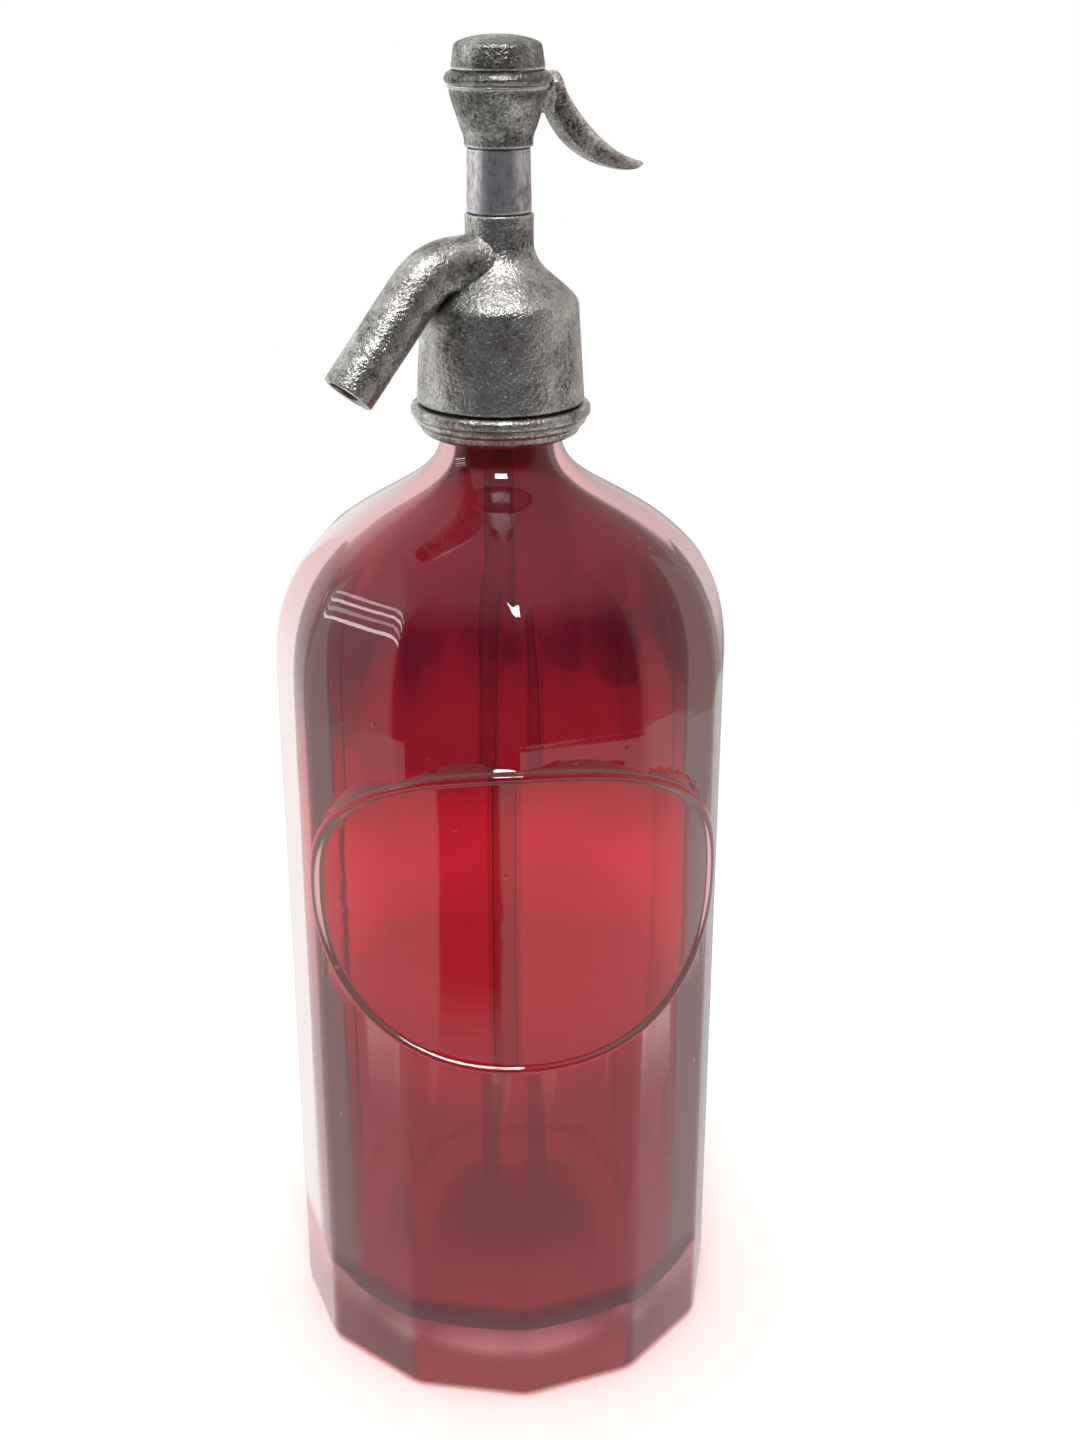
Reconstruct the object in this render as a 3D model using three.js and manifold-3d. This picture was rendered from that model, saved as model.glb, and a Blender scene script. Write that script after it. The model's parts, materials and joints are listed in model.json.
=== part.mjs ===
// Soda siphon: a faceted glass bottle with a cast head, a lever and a spring-loaded valve piston.
// Millimetres, +Z up. The origin is the centre of the foot, on the table.
// The lever points along +X, the spout along -X, and the lever pin lies along Y.
// Pressing the lever lifts the piston off its seat, and the gas drives water up the dip tube.

import * as THREE from 'three';
import { mergeVertices } from 'three/addons/utils/BufferGeometryUtils.js';
import Module from 'manifold-3d';

const wasm = await Module();
wasm.setup();

// General clearances
const clearance = 0.3; // between pieces that seat on or in each other
const pinClearance = 0.25; // between the lever pin and its holes
const overrun = 2; // how far a cutter runs past the face that it cuts

// Glass bottle
const bodyRadius = 52.7; // over the corners of the facets
const facetCount = 12;
const bodyHeight = 172; // foot to the start of the shoulder
const shoulderHeight = 38; // start of the shoulder to its break
const breakRadius = 30.3; // where the dome turns into the neck's sweep
const neckRise = 17; // shoulder break to the straight neck
const neckRadius = 13.4;
const neckLength = 9.5; // straight neck, up to the lip bead
const lipRadius = 15.6;
const lipHeight = 5.4;
const wall = 5;
const neckWall = 3.2;
const heelRadius = 3;
const baseThickness = 15; // foot to the inner floor at its rim
const floorRadius = 7; // rounding between the inner wall and floor
const kickRadius = 26; // push-up under the foot
const kickHeight = 9;
const domeRadius = 28; // rise of the inner floor over the push-up
const domeHeight = 11;
const bottleTurn = THREE.MathUtils.degToRad(-117.4); // the facet corner under the medallion

// Raised oval medallion on the glass
const medallionHalfTurn = THREE.MathUtils.degToRad(61); // round the glass, from its centre to its end
const medallionFullness = 2.4; // power of its oval, which is 2 in an ellipse
const medallionHalfHeight = 37;
const medallionHeight = 129.5; // foot to its centre
const medallionProud = 0.5; // stands out from the facet corners
const medallionRim = 1.2; // radius of the rim's bead

// Split neck ring
const ringRadius = 20;
const ringHeight = 4.4;
const ringCollarHeight = 2.8; // threaded part inside the bell
const ringSkirtHeight = 2.8; // lower step round the glass
const ringSkirtRadius = 17.2;
const ringSplitTurn = THREE.MathUtils.degToRad(-30);

// Head bell
const bellRadius = 18.6;
const bellWall = 2.1;
const bellTaper = 1.3; // loss of radius up the straight side
const bellSideHeight = 20.5;
const bellShoulderHeight = 14.1; // top of the side to the foot of the neck
const bellNeckRadius = 7.4;
const bellNeckLength = 5.7;
const chamberRadius = 5.3; // valve chamber, bored up through the neck

// Gasket, tube holder, sleeve and dip tube
const gasketThickness = 2;
const gasketBore = 8.5;
const holderFlangeRadius = 8;
const holderFlangeHeight = 1.7;
const holderBossRadius = 6.2;
const holderBossLength = 7;
const holderSkirtRadius = 7.4;
const holderSkirtLength = 11.5;
const holderSocketDepth = 9.7;
const passageRadius = 2.4; // water way up through the holder
const sleeveWall = 1.3;
const tubeRadius = 4;
const tubeWall = 1.4;
const tubeFootGap = 3.5; // dip tube's end above the inner floor's dome

// Valve seat and piston
const seatFlangeHeight = 1.7;
const nozzleRadius = 3.2;
const nozzleHeight = 2.8;
const nozzleBore = 1.8;
const rubberRadius = 3.6;
const rubberHeight = 2.8;
const valveHolderRadius = 4.7;
const valveHolderHeight = 4.7;
const valveSkirt = 0.8; // rubber left standing below the holder's rim
const rodRadius = 1.8;
const rodEngagement = 1.5; // length screwed into the valve holder
const leatherRadius = 4.6;
const leatherThickness = 0.8;
const leatherHeight = 2.8;
const leatherRise = 10.3; // valve holder's top to the cup leather's lip
const rodCollarRadius = 3.4;
const rodCollarHeight = 1.5;
const washerRadius = 4.4;
const washerThickness = 1;
const nutRadius = 3.2; // over the corners
const nutHeight = 2.2;

// Spout
const spoutHeight = 30.3; // bell's foot to the spout's centreline
const spoutRadius = 5.9;
const spoutBore = 4.3;
const spigotRadius = 5; // end that is brazed into the bell
const spoutElbow = 17; // bell's axis to the corner of the bend
const spoutBendRadius = 13;
const spoutLeg = 32.5; // corner of the bend to the mouth
const spoutDrop = THREE.MathUtils.degToRad(49.5); // leg below level

// Barrel
const barrelLength = 13.1;
const barrelFootRadius = 7;
const barrelTopRadius = 6.75;
const barrelBore = 4.9;
const barrelSpigotRadius = 5.9;
const barrelSpigotLength = 4;
const barrelTopSpigotLength = 2.8;

// Lever housing and cap
const cupRadius = 11.3; // over the bead
const cupHeight = 15.2;
const cupWall = 1.45;
const capSpigotRadius = 8.6;
const capSpigotLength = 2.6;
const capRadius = 9.55;
const capSideHeight = 4.6;
const capDomeHeight = 2.2;
const capBore = 6.6;
const capCrown = 1.8; // metal over the spring
const springSeatRadius = 5;
const springSeatHeight = 1.3;
const springRadius = 4.2; // to the centre of the wire
const wireRadius = 0.5;
const springTurns = 4;

// Lever and its pin
const pivotReach = 7.5; // axis of the siphon to the lever pin
const pinRadius = 1.1;
const hubRadius = 2.3;
const slotHalfWidth = 3.7;
const liftArm = 9; // lever pin to the centre of the fork's tips
const forkTipRadius = 1.3;
const forkGap = 2.1; // half the gap between the prongs
const leverNeckHeight = 4.6;
const leverNeckDrop = 1.9; // lever pin down to the neck's lower edge
const leverNeckReach = 12.2; // axis of the siphon to the neck's end in the horn
const hornRootReach = 11; // axis of the siphon to the horn's root
const hornTipReach = 37.1; // axis of the siphon to the horn's tip
const hornFall = 21.3; // top of the horn down to its lowest edge
const hornCrest = 6.3; // lever pin up to the top of the horn
const hornHalfWidth = 3.9;

// Facets of the round pieces
const bottleSegments = facetCount * 5;
const cavitySegments = 30;
const headSegments = 32;
const smallSegments = 20;
const curveSteps = 6;

// Heights that follow from the sizes above
const shoulderBreak = bodyHeight + shoulderHeight;
const neckFoot = shoulderBreak + neckRise;
const lipFoot = neckFoot + neckLength;
const bottleTop = lipFoot + lipHeight;
const ringCollarTop = lipFoot - clearance;
const ringTop = ringCollarTop - ringCollarHeight;
const ringFoot = ringTop - ringHeight;
const bellFoot = ringTop + clearance;
const bellBore = bellRadius - bellWall;
const bellSideTop = bellFoot + bellSideHeight;
const bellNeckFoot = bellSideTop + bellShoulderHeight;
const bellTop = bellNeckFoot + bellNeckLength;
const gasketFoot = bottleTop + clearance;
const bellCeiling = gasketFoot + gasketThickness + clearance;
const holderTop = bellCeiling + holderBossLength;
const holderFlangeFoot = bellCeiling - clearance - holderFlangeHeight;
const holderFoot = holderFlangeFoot - holderSkirtLength;
const socketTop = holderFoot + holderSocketDepth;
const socketRadius = tubeRadius + clearance + sleeveWall + clearance;
const floorTop = baseThickness + domeHeight;
const seatFoot = holderTop + clearance;
const seatFlangeTop = seatFoot + seatFlangeHeight;
const seatCeiling = seatFlangeTop + clearance;
const nozzleTop = seatFlangeTop + nozzleHeight;
const rubberFoot = nozzleTop + clearance;
const valveHolderFoot = rubberFoot + valveSkirt;
const valveHolderTop = valveHolderFoot + valveHolderHeight;
const leatherFoot = valveHolderTop + leatherRise;
const leatherTop = leatherFoot + leatherHeight;
const washerFoot = leatherTop + clearance;
const sealNutFoot = washerFoot + washerThickness + clearance;
const barrelFoot = bellTop + clearance;
const barrelTop = barrelFoot + barrelLength;
const counterboreFoot = barrelFoot - barrelSpigotLength - clearance;
const cupFoot = barrelTop + clearance;
const cupTop = cupFoot + cupHeight;
const cupBearingTop = cupFoot + barrelTopSpigotLength;
const spoutLevel = bellFoot + spoutHeight;

// The housing's outline, from its foot to its rim, as shares of its radius and height
const cupOutlineShares = [
  [0.628, 0], [0.646, 0.125], [0.681, 0.21], [0.735, 0.342], [0.805, 0.474], [0.876, 0.605],
  [0.918, 0.737], [0.95, 0.79], [0.95, 0.828], [0.93, 0.85],
  [0.985, 0.875], [1, 0.92], [0.985, 0.96], [0.9, 1],
];
const pivotShare = 0.546; // height of the lever pin in the housing
const slotFootShare = 0.257;
const slotTopShare = 0.765;
const cavityTopShare = 0.81; // where the cap's thread begins
const pivotLevel = cupFoot + cupHeight * pivotShare;
const springSeatFoot = pivotLevel + forkTipRadius + clearance;
const springSeatTop = springSeatFoot + springSeatHeight;
const headNutFoot = springSeatTop + clearance;
const rodTop = headNutFoot + nutHeight + clearance;
const capFoot = cupTop + clearance;
const capTop = capFoot + capSideHeight + capDomeHeight;
const capCeiling = capTop - capCrown;

// Lower and upper edges of the horn from root to tip: shares of its length and of its fall
const hornLowerShares = [
  [0, 0.724], [0.038, 0.631], [0.088, 0.519], [0.161, 0.393], [0.28, 0.252],
  [0.433, 0.136], [0.605, 0.05], [0.782, 0], [0.927, 0.005], [0.985, 0.035],
];
const hornUpperShares = [
  [0.046, 0.991], [0.13, 1], [0.199, 0.832], [0.291, 0.673], [0.414, 0.509],
  [0.552, 0.355], [0.705, 0.22], [0.851, 0.131], [0.954, 0.084], [1, 0.061],
];
const hornWidthShares = [1, 1, 0.98, 0.94, 0.89, 0.82, 0.73, 0.62, 0.48, 0.28];
// Half the horn's section, from its lower rim to its crown: shares of its depth and half width
const hornSectionShares = [
  [0, 0.55], [0.04, 0.9], [0.12, 1], [0.2, 0.88], [0.5, 0.86], [0.76, 0.92], [0.9, 0.78], [1, 0.4],
];

// Finishes
const rubyGlass = { color: 0x8e1024, roughness: 0.05, metalness: 0, transparent: true, opacity: 0.6 };
const clearGlass = { color: 0xd8e0dc, roughness: 0.05, metalness: 0, transparent: true, opacity: 0.5 };
const castPewter = { color: 0x83837f, roughness: 0.42, metalness: 0.9 };
const darkTube = { color: 0x5d5a5c, roughness: 0.35, metalness: 0.9 };
const brass = { color: 0xa98a4a, roughness: 0.4, metalness: 0.9 };
const steel = { color: 0x9a9da0, roughness: 0.35, metalness: 1 };
const blackRubber = { color: 0x222222, roughness: 0.8, metalness: 0 };
const leather = { color: 0x6b4a2f, roughness: 0.8, metalness: 0 };

// Turns a closed geometry into a solid for joining and cutting.
function toSolid(geometry) {
  const bare = geometry.clone();
  bare.deleteAttribute('normal');
  bare.deleteAttribute('uv');
  const merged = mergeVertices(bare, 1e-4);
  const mesh = new wasm.Mesh({
    numProp: 3,
    vertProperties: new Float32Array(merged.attributes.position.array),
    triVerts: new Uint32Array(merged.index.array),
  });
  return new wasm.Manifold(mesh);
}

// Turns a solid back into a geometry with flat faces.
function toGeometry(solid) {
  const mesh = solid.getMesh();
  const geometry = new THREE.BufferGeometry();
  geometry.setAttribute('position', new THREE.BufferAttribute(new Float32Array(mesh.vertProperties), 3));
  geometry.setIndex(new THREE.BufferAttribute(new Uint32Array(mesh.triVerts), 1));
  return geometry;
}

// Revolves an outline of [radius, height] points about the Z axis.
function revolve(points, segments, turn = 0) {
  const outline = points.map(([radius, height]) => new THREE.Vector2(radius, height));
  const geometry = new THREE.LatheGeometry(outline, segments);
  geometry.rotateX(Math.PI / 2);
  geometry.rotateZ(turn);
  return geometry;
}

// A washer or plain ring between two heights.
function ring(inner, outer, foot, top, segments) {
  return revolve([[inner, foot], [outer, foot], [outer, top], [inner, top], [inner, foot]], segments);
}

// A solid round bar between two heights.
function bar(radius, foot, top, segments) {
  return revolve([[0, foot], [radius, foot], [radius, top], [0, top]], segments);
}

// A round bar along Y, centred on a place in the XZ plane.
function crossBar(radius, halfLength, x, z, segments) {
  const geometry = new THREE.CylinderGeometry(radius, radius, halfLength * 2, segments);
  geometry.translate(x, 0, z);
  return geometry;
}

// A block between two corners.
function block(low, high) {
  const size = high.map((value, axis) => value - low[axis]);
  const geometry = new THREE.BoxGeometry(...size);
  geometry.translate(...high.map((value, axis) => (value + low[axis]) / 2));
  return geometry;
}

// The points of a curve through control points given as [radius, height].
function curvePoints(start, startHandle, endHandle, end, steps) {
  const curve = new THREE.CubicBezierCurve(
    new THREE.Vector2(...start),
    new THREE.Vector2(...startHandle),
    new THREE.Vector2(...endHandle),
    new THREE.Vector2(...end),
  );
  return curve.getPoints(steps).map((point) => [point.x, point.y]);
}

// A quarter round from one point to another, leaving along one axis and arriving along the other.
function quarterRound(start, end, leavesLevel, steps) {
  const [x0, z0] = start;
  const [x1, z1] = end;
  const points = [];
  for (let step = 0; step <= steps; step += 1) {
    const angle = (step / steps) * (Math.PI / 2);
    const slow = 1 - Math.cos(angle);
    const fast = Math.sin(angle);
    const [shareX, shareZ] = leavesLevel ? [fast, slow] : [slow, fast];
    points.push([x0 + (x1 - x0) * shareX, z0 + (z1 - z0) * shareZ]);
  }
  return points;
}

// A closed skin over rings of points, with flat ends, or joined end to end.
function loft(rings, closed = false) {
  const sides = rings[0].length;
  const positions = rings.flat().flatMap((point) => [point.x, point.y, point.z]);
  const index = [];
  const spans = closed ? rings.length : rings.length - 1;
  for (let span = 0; span < spans; span += 1) {
    const here = span * sides;
    const next = ((span + 1) % rings.length) * sides;
    for (let side = 0; side < sides; side += 1) {
      const other = (side + 1) % sides;
      index.push(here + side, next + side, next + other);
      index.push(here + side, next + other, here + other);
    }
  }
  if (!closed) {
    const last = (rings.length - 1) * sides;
    for (let side = 1; side < sides - 1; side += 1) {
      index.push(0, side, side + 1);
      index.push(last, last + side + 1, last + side);
    }
  }
  const geometry = new THREE.BufferGeometry();
  geometry.setAttribute('position', new THREE.Float32BufferAttribute(positions, 3));
  geometry.setIndex(index);
  return geometry;
}

// The outside of the round bottle before its facets are cut.
function bottleOutline() {
  const shoulderHandle = shoulderHeight * 0.58;
  const dome = curvePoints(
    [bodyRadius, bodyHeight],
    [bodyRadius, bodyHeight + shoulderHandle],
    [breakRadius + (bodyRadius - breakRadius) * 0.59, shoulderBreak - shoulderHeight * 0.205],
    [breakRadius, shoulderBreak],
    curveSteps * 2 - 1,
  );
  const sweep = curvePoints(
    [breakRadius, shoulderBreak],
    [neckRadius + (breakRadius - neckRadius) * 0.39, shoulderBreak + neckRise * 0.36],
    [neckRadius, shoulderBreak + neckRise * 0.53],
    [neckRadius, neckFoot],
    curveSteps,
  );
  const lipStep = lipRadius - neckRadius;
  return [
    [0, kickHeight],
    [kickRadius * 0.45, kickHeight * 0.9],
    [kickRadius * 0.8, kickHeight * 0.5],
    [kickRadius, 0],
    ...quarterRound([bodyRadius - heelRadius, 0], [bodyRadius, heelRadius], true, 3),
    ...dome,
    ...sweep.slice(1),
    [neckRadius, lipFoot],
    [lipRadius, lipFoot + lipStep / 2],
    [lipRadius, bottleTop - lipStep / 2],
    [lipRadius - lipStep / 2, bottleTop],
    [0, bottleTop],
  ];
}

// The round hollow inside the bottle, open at the mouth.
function cavityOutline() {
  const flat = bodyRadius * Math.cos(Math.PI / facetCount);
  const radius = flat - wall;
  const bore = neckRadius - neckWall;
  const breakInside = breakRadius - wall * 0.8;
  const levelInside = shoulderBreak - wall * 0.75;
  const dome = curvePoints(
    [radius, bodyHeight],
    [radius, bodyHeight + shoulderHeight * 0.5],
    [breakInside + (radius - breakInside) * 0.59, levelInside - shoulderHeight * 0.205],
    [breakInside, levelInside],
    curveSteps,
  );
  const sweep = curvePoints(
    [breakInside, levelInside],
    [bore + (breakInside - bore) * 0.39, levelInside + neckRise * 0.36],
    [bore, levelInside + neckRise * 0.53],
    [bore, neckFoot],
    curveSteps - 2,
  );
  return [
    [0, floorTop],
    [domeRadius * 0.35, floorTop - domeHeight * 0.14],
    [domeRadius * 0.7, floorTop - domeHeight * 0.6],
    [domeRadius, baseThickness],
    ...quarterRound([radius - floorRadius, baseThickness], [radius, baseThickness + floorRadius], true, 4),
    ...dome,
    ...sweep.slice(1),
    [bore, bottleTop + overrun],
    [0, bottleTop + overrun],
  ];
}

// The oval outline of the medallion, facing +X, at an angle round its edge.
function medallionEdge(angle, inset) {
  const full = (value) => Math.sign(value) * Math.abs(value) ** (2 / medallionFullness);
  const halfWidth = (bodyRadius + medallionProud) * Math.sin(medallionHalfTurn);
  const across = (halfWidth - inset) * full(Math.cos(angle));
  const up = (medallionHalfHeight - inset) * full(Math.sin(angle));
  return [across, medallionHeight + up];
}

// The raised oval pad with its round rim, facing +X.
function medallion() {
  const radius = bodyRadius + medallionProud;
  const steps = 64;
  const outline = new THREE.Shape();
  for (let step = 0; step < steps; step += 1) {
    const [across, height] = medallionEdge((step / steps) * Math.PI * 2, medallionRim);
    outline[step === 0 ? 'moveTo' : 'lineTo'](across, height);
  }
  const prism = new THREE.ExtrudeGeometry(outline, { depth: bodyRadius * 2, steps: 1, bevelEnabled: false });
  prism.rotateX(Math.PI / 2);
  prism.rotateZ(Math.PI / 2);
  const low = medallionHeight - medallionHalfHeight - overrun;
  const high = medallionHeight + medallionHalfHeight + overrun;
  const drum = ring(bodyRadius - wall / 2, radius, low, high, bottleSegments);
  return { pad: toSolid(drum).intersect(toSolid(prism)), bead: medallionBead(radius) };
}

// The bead along the medallion's edge.
function medallionBead(radius) {
  const steps = 60;
  const sides = 6;
  const rings = [];
  for (let step = 0; step < steps; step += 1) {
    const angle = (step / steps) * Math.PI * 2;
    const [across, height] = medallionEdge(angle, medallionRim);
    const turn = Math.asin(across / radius);
    const outward = new THREE.Vector3(Math.cos(turn), Math.sin(turn), 0);
    const centre = outward.clone().multiplyScalar(radius - medallionRim / 2).setZ(height);
    const [nextAcross, nextHeight] = medallionEdge(angle + Math.PI / steps, medallionRim);
    const nextTurn = Math.asin(nextAcross / radius);
    const along = new THREE.Vector3(Math.cos(nextTurn), Math.sin(nextTurn), 0).multiplyScalar(radius);
    along.setZ(nextHeight).sub(outward.clone().multiplyScalar(radius).setZ(height)).normalize();
    const sideways = new THREE.Vector3().crossVectors(along, outward).normalize();
    const section = [];
    for (let side = 0; side < sides; side += 1) {
      const round = (side / sides) * Math.PI * 2;
      const point = centre.clone();
      point.addScaledVector(outward, medallionRim * Math.sin(round));
      point.addScaledVector(sideways, medallionRim * Math.cos(round));
      section.push(point);
    }
    rings.push(section);
  }
  return toSolid(loft(rings, true));
}

// The bottle: round glass cut to flats, with the medallion left standing, and hollowed.
function bottle() {
  const round = toSolid(revolve(bottleOutline(), bottleSegments));
  const flats = new THREE.CylinderGeometry(bodyRadius, bodyRadius, bottleTop * 2, facetCount);
  flats.rotateX(Math.PI / 2);
  flats.rotateZ(Math.PI / 2);
  const { pad, bead } = medallion();
  const outside = round.intersect(toSolid(flats)).add(pad).add(bead);
  const hollow = toSolid(revolve(cavityOutline(), cavitySegments));
  const geometry = toGeometry(outside.subtract(hollow));
  geometry.rotateZ(bottleTurn);
  return geometry;
}

// One half of the ring that grips the glass under its lip.
function neckRingHalf(side) {
  const bore = neckRadius + clearance;
  const collar = bellBore - clearance;
  const skirtFoot = ringFoot - ringSkirtHeight;
  const edge = ringHeight / 4;
  const whole = revolve([
    [bore, skirtFoot],
    [ringSkirtRadius - edge, skirtFoot],
    [ringSkirtRadius, ringFoot - edge],
    [ringSkirtRadius, ringFoot],
    [ringRadius - edge, ringFoot],
    [ringRadius, ringFoot + edge],
    [ringRadius, ringTop - edge],
    [ringRadius - edge, ringTop],
    [collar, ringTop],
    [collar, ringCollarTop],
    [bore, ringCollarTop],
    [bore, skirtFoot],
  ], headSegments);
  const reach = ringRadius + overrun;
  const half = block([-reach, clearance / 2, skirtFoot - overrun], [reach, reach, ringCollarTop + overrun]);
  half.rotateZ(ringSplitTurn + (side > 0 ? 0 : Math.PI));
  return toGeometry(toSolid(whole).intersect(toSolid(half)));
}

// The outside of the bell from its foot to the top of its neck, set out by a margin.
function bellOutside(margin) {
  const sideTop = bellRadius - bellTaper + margin;
  const neck = bellNeckRadius + margin;
  const middle = neck + (sideTop - neck) * 0.61;
  const middleLevel = bellSideTop + bellShoulderHeight * 0.36;
  const crown = curvePoints(
    [sideTop, bellSideTop],
    [sideTop, bellSideTop + bellShoulderHeight * 0.14],
    [middle + (sideTop - middle) * 0.58, middleLevel - bellShoulderHeight * 0.135],
    [middle, middleLevel],
    4,
  );
  const sweep = curvePoints(
    [middle, middleLevel],
    [neck + (middle - neck) * 0.5, middleLevel + bellShoulderHeight * 0.185],
    [neck, middleLevel + bellShoulderHeight * 0.32],
    [neck, bellNeckFoot],
    curveSteps - 1,
  );
  return [[bellRadius + margin, bellFoot], ...crown, ...sweep.slice(1), [neck, bellTop]];
}

// The bell that screws down on the neck ring, with its bores and the hole for the spout.
function headBell() {
  const seatBore = holderBossRadius + clearance;
  const spigotBore = barrelSpigotRadius + clearance;
  const body = revolve([
    ...bellOutside(0),
    [spigotBore, bellTop],
    [spigotBore, counterboreFoot],
    [chamberRadius, counterboreFoot],
    [chamberRadius, seatCeiling],
    [seatBore, seatCeiling],
    [seatBore, bellCeiling],
    [bellBore, bellCeiling],
    [bellBore, bellFoot],
    [bellRadius, bellFoot],
  ], headSegments);
  const hole = bar(spigotRadius + clearance, 0, bellRadius, smallSegments);
  hole.rotateY(-Math.PI / 2);
  hole.translate(0, 0, spoutLevel);
  return toGeometry(toSolid(body).subtract(toSolid(hole)));
}

// The centreline of the spout: level out of the bell, round the bend and down to the mouth.
function spoutPath(start, past) {
  const bendLength = spoutBendRadius * Math.tan(spoutDrop / 2);
  const away = [-Math.cos(spoutDrop), -Math.sin(spoutDrop)];
  const at = (x, z) => new THREE.Vector3(x, 0, spoutLevel + z);
  const path = new THREE.CurvePath();
  const bendEnd = at(-spoutElbow + away[0] * bendLength, away[1] * bendLength);
  path.add(new THREE.LineCurve3(at(-start, 0), at(-spoutElbow + bendLength, 0)));
  path.add(new SpoutBend());
  path.add(new THREE.LineCurve3(bendEnd, at(
    -spoutElbow + away[0] * (spoutLeg + past),
    away[1] * (spoutLeg + past),
  )));
  return path;
}

// The round bend between the spout's level and falling parts.
class SpoutBend extends THREE.Curve {
  getPoint(share) {
    const angle = share * spoutDrop;
    const x = -spoutElbow + spoutBendRadius * (Math.tan(spoutDrop / 2) - Math.sin(angle));
    const z = spoutLevel - spoutBendRadius * (1 - Math.cos(angle));
    return new THREE.Vector3(x, 0, z);
  }
}

// A round section for a tube that follows a path.
function tubeAlong(path, radius, sides, steps) {
  const section = new THREE.Shape();
  section.absarc(0, 0, radius, 0, Math.PI * 2, false);
  return new THREE.ExtrudeGeometry(section, {
    curveSegments: sides / 2, // a full circle gets two sides for each
    steps,
    bevelEnabled: false,
    extrudePath: path,
  });
}

// The spout: a bent tube fitted to the bell's outside, with a spigot through the bell's wall.
function spout() {
  const steps = 18;
  const tube = toSolid(tubeAlong(spoutPath(0, 0), spoutRadius, 16, steps));
  const outline = [...bellOutside(clearance), [0, bellTop], [0, bellFoot], [bellRadius + clearance, bellFoot]];
  const fitted = tube.subtract(toSolid(revolve(outline, headSegments)));
  const spigot = bar(spigotRadius, 0, spoutElbow - spoutBendRadius * Math.tan(spoutDrop / 2), smallSegments);
  spigot.rotateY(-Math.PI / 2);
  spigot.translate(0, 0, spoutLevel);
  const chamber = bar(chamberRadius + clearance, bellFoot, bellTop, headSegments);
  const bore = toSolid(tubeAlong(spoutPath(0, overrun), spoutBore, 12, steps));
  return toGeometry(fitted.add(toSolid(spigot)).subtract(toSolid(chamber)).subtract(bore));
}

// The washer that seals the bell on the glass lip.
function headGasket() {
  const radius = bellBore - clearance;
  return ring(gasketBore, radius, gasketFoot, gasketFoot + gasketThickness, headSegments);
}

// The ferrule that screws up into the bell and carries the dip tube.
function tubeHolder() {
  const flangeTop = holderFlangeFoot + holderFlangeHeight;
  return revolve([
    [socketRadius, holderFoot],
    [holderSkirtRadius, holderFoot],
    [holderSkirtRadius, holderFlangeFoot],
    [holderFlangeRadius, holderFlangeFoot],
    [holderFlangeRadius, flangeTop],
    [holderBossRadius, flangeTop],
    [holderBossRadius, holderTop],
    [passageRadius, holderTop],
    [passageRadius, socketTop],
    [socketRadius, socketTop],
    [socketRadius, holderFoot],
  ], smallSegments);
}

// The rubber sleeve between the ferrule and the dip tube.
function tubeSleeve() {
  return ring(tubeRadius + clearance, socketRadius - clearance, holderFoot, socketTop - clearance, smallSegments);
}

// The glass tube that reaches down to the floor of the bottle.
function dipTube() {
  return ring(tubeRadius - tubeWall, tubeRadius, floorTop + tubeFootGap, socketTop - clearance, smallSegments);
}

// The seat under the valve, held down by the ferrule.
function valveSeat() {
  return revolve([
    [nozzleBore, seatFoot],
    [holderBossRadius, seatFoot],
    [holderBossRadius, seatFlangeTop],
    [nozzleRadius, seatFlangeTop],
    [nozzleBore + (nozzleRadius - nozzleBore) / 2, nozzleTop],
    [nozzleBore, nozzleTop],
    [nozzleBore, seatFoot],
  ], smallSegments);
}

// The rubber disc that closes the seat.
function valveRubber() {
  return bar(rubberRadius, rubberFoot, rubberFoot + rubberHeight, smallSegments);
}

// The brass cup that holds the rubber on the end of the rod.
function valveHolder() {
  const pocketTop = rubberFoot + rubberHeight + clearance;
  const rodHole = rodRadius + clearance;
  const pocket = rubberRadius + clearance;
  const rodHoleFoot = valveHolderTop - rodEngagement - clearance;
  const chamfer = valveHolderHeight / 8;
  return revolve([
    [0, pocketTop],
    [pocket, pocketTop],
    [pocket, valveHolderFoot],
    [valveHolderRadius, valveHolderFoot],
    [valveHolderRadius, valveHolderTop - chamfer],
    [valveHolderRadius - chamfer, valveHolderTop],
    [rodHole, valveHolderTop],
    [rodHole, rodHoleFoot],
    [0, rodHoleFoot],
  ], smallSegments);
}

// The piston rod with the collar that backs the cup leather.
function pistonRod() {
  const collarFoot = leatherFoot;
  return revolve([
    [0, valveHolderTop - rodEngagement],
    [rodRadius, valveHolderTop - rodEngagement],
    [rodRadius, collarFoot],
    [rodCollarRadius, collarFoot],
    [rodCollarRadius, collarFoot + rodCollarHeight],
    [rodRadius, collarFoot + rodCollarHeight],
    [rodRadius, rodTop],
    [0, rodTop],
  ], smallSegments);
}

// The leather cup that seals the piston in the barrel, its lip turned down to the pressure.
function cupLeather() {
  const bore = rodRadius + clearance;
  const lipInside = leatherRadius - leatherThickness;
  const web = leatherTop - leatherThickness;
  return revolve([
    [bore, web],
    [lipInside, web],
    [lipInside, leatherFoot],
    [leatherRadius, leatherFoot],
    [leatherRadius, leatherTop],
    [bore, leatherTop],
    [bore, web],
  ], smallSegments);
}

// The washer over the cup leather.
function cupWasher() {
  return ring(rodRadius + clearance, washerRadius, washerFoot, washerFoot + washerThickness, smallSegments);
}

// A six-sided nut on the rod, its foot at a height.
function rodNut(foot) {
  const blank = bar(nutRadius, foot, foot + nutHeight, 6);
  const hole = bar(rodRadius + clearance, foot - overrun, foot + nutHeight + overrun, smallSegments);
  return toGeometry(toSolid(blank).subtract(toSolid(hole)));
}

// The flange that the lever lifts and the spring presses down.
function springSeat() {
  return ring(rodRadius + clearance, springSeatRadius, springSeatFoot, springSeatTop, smallSegments);
}

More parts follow.
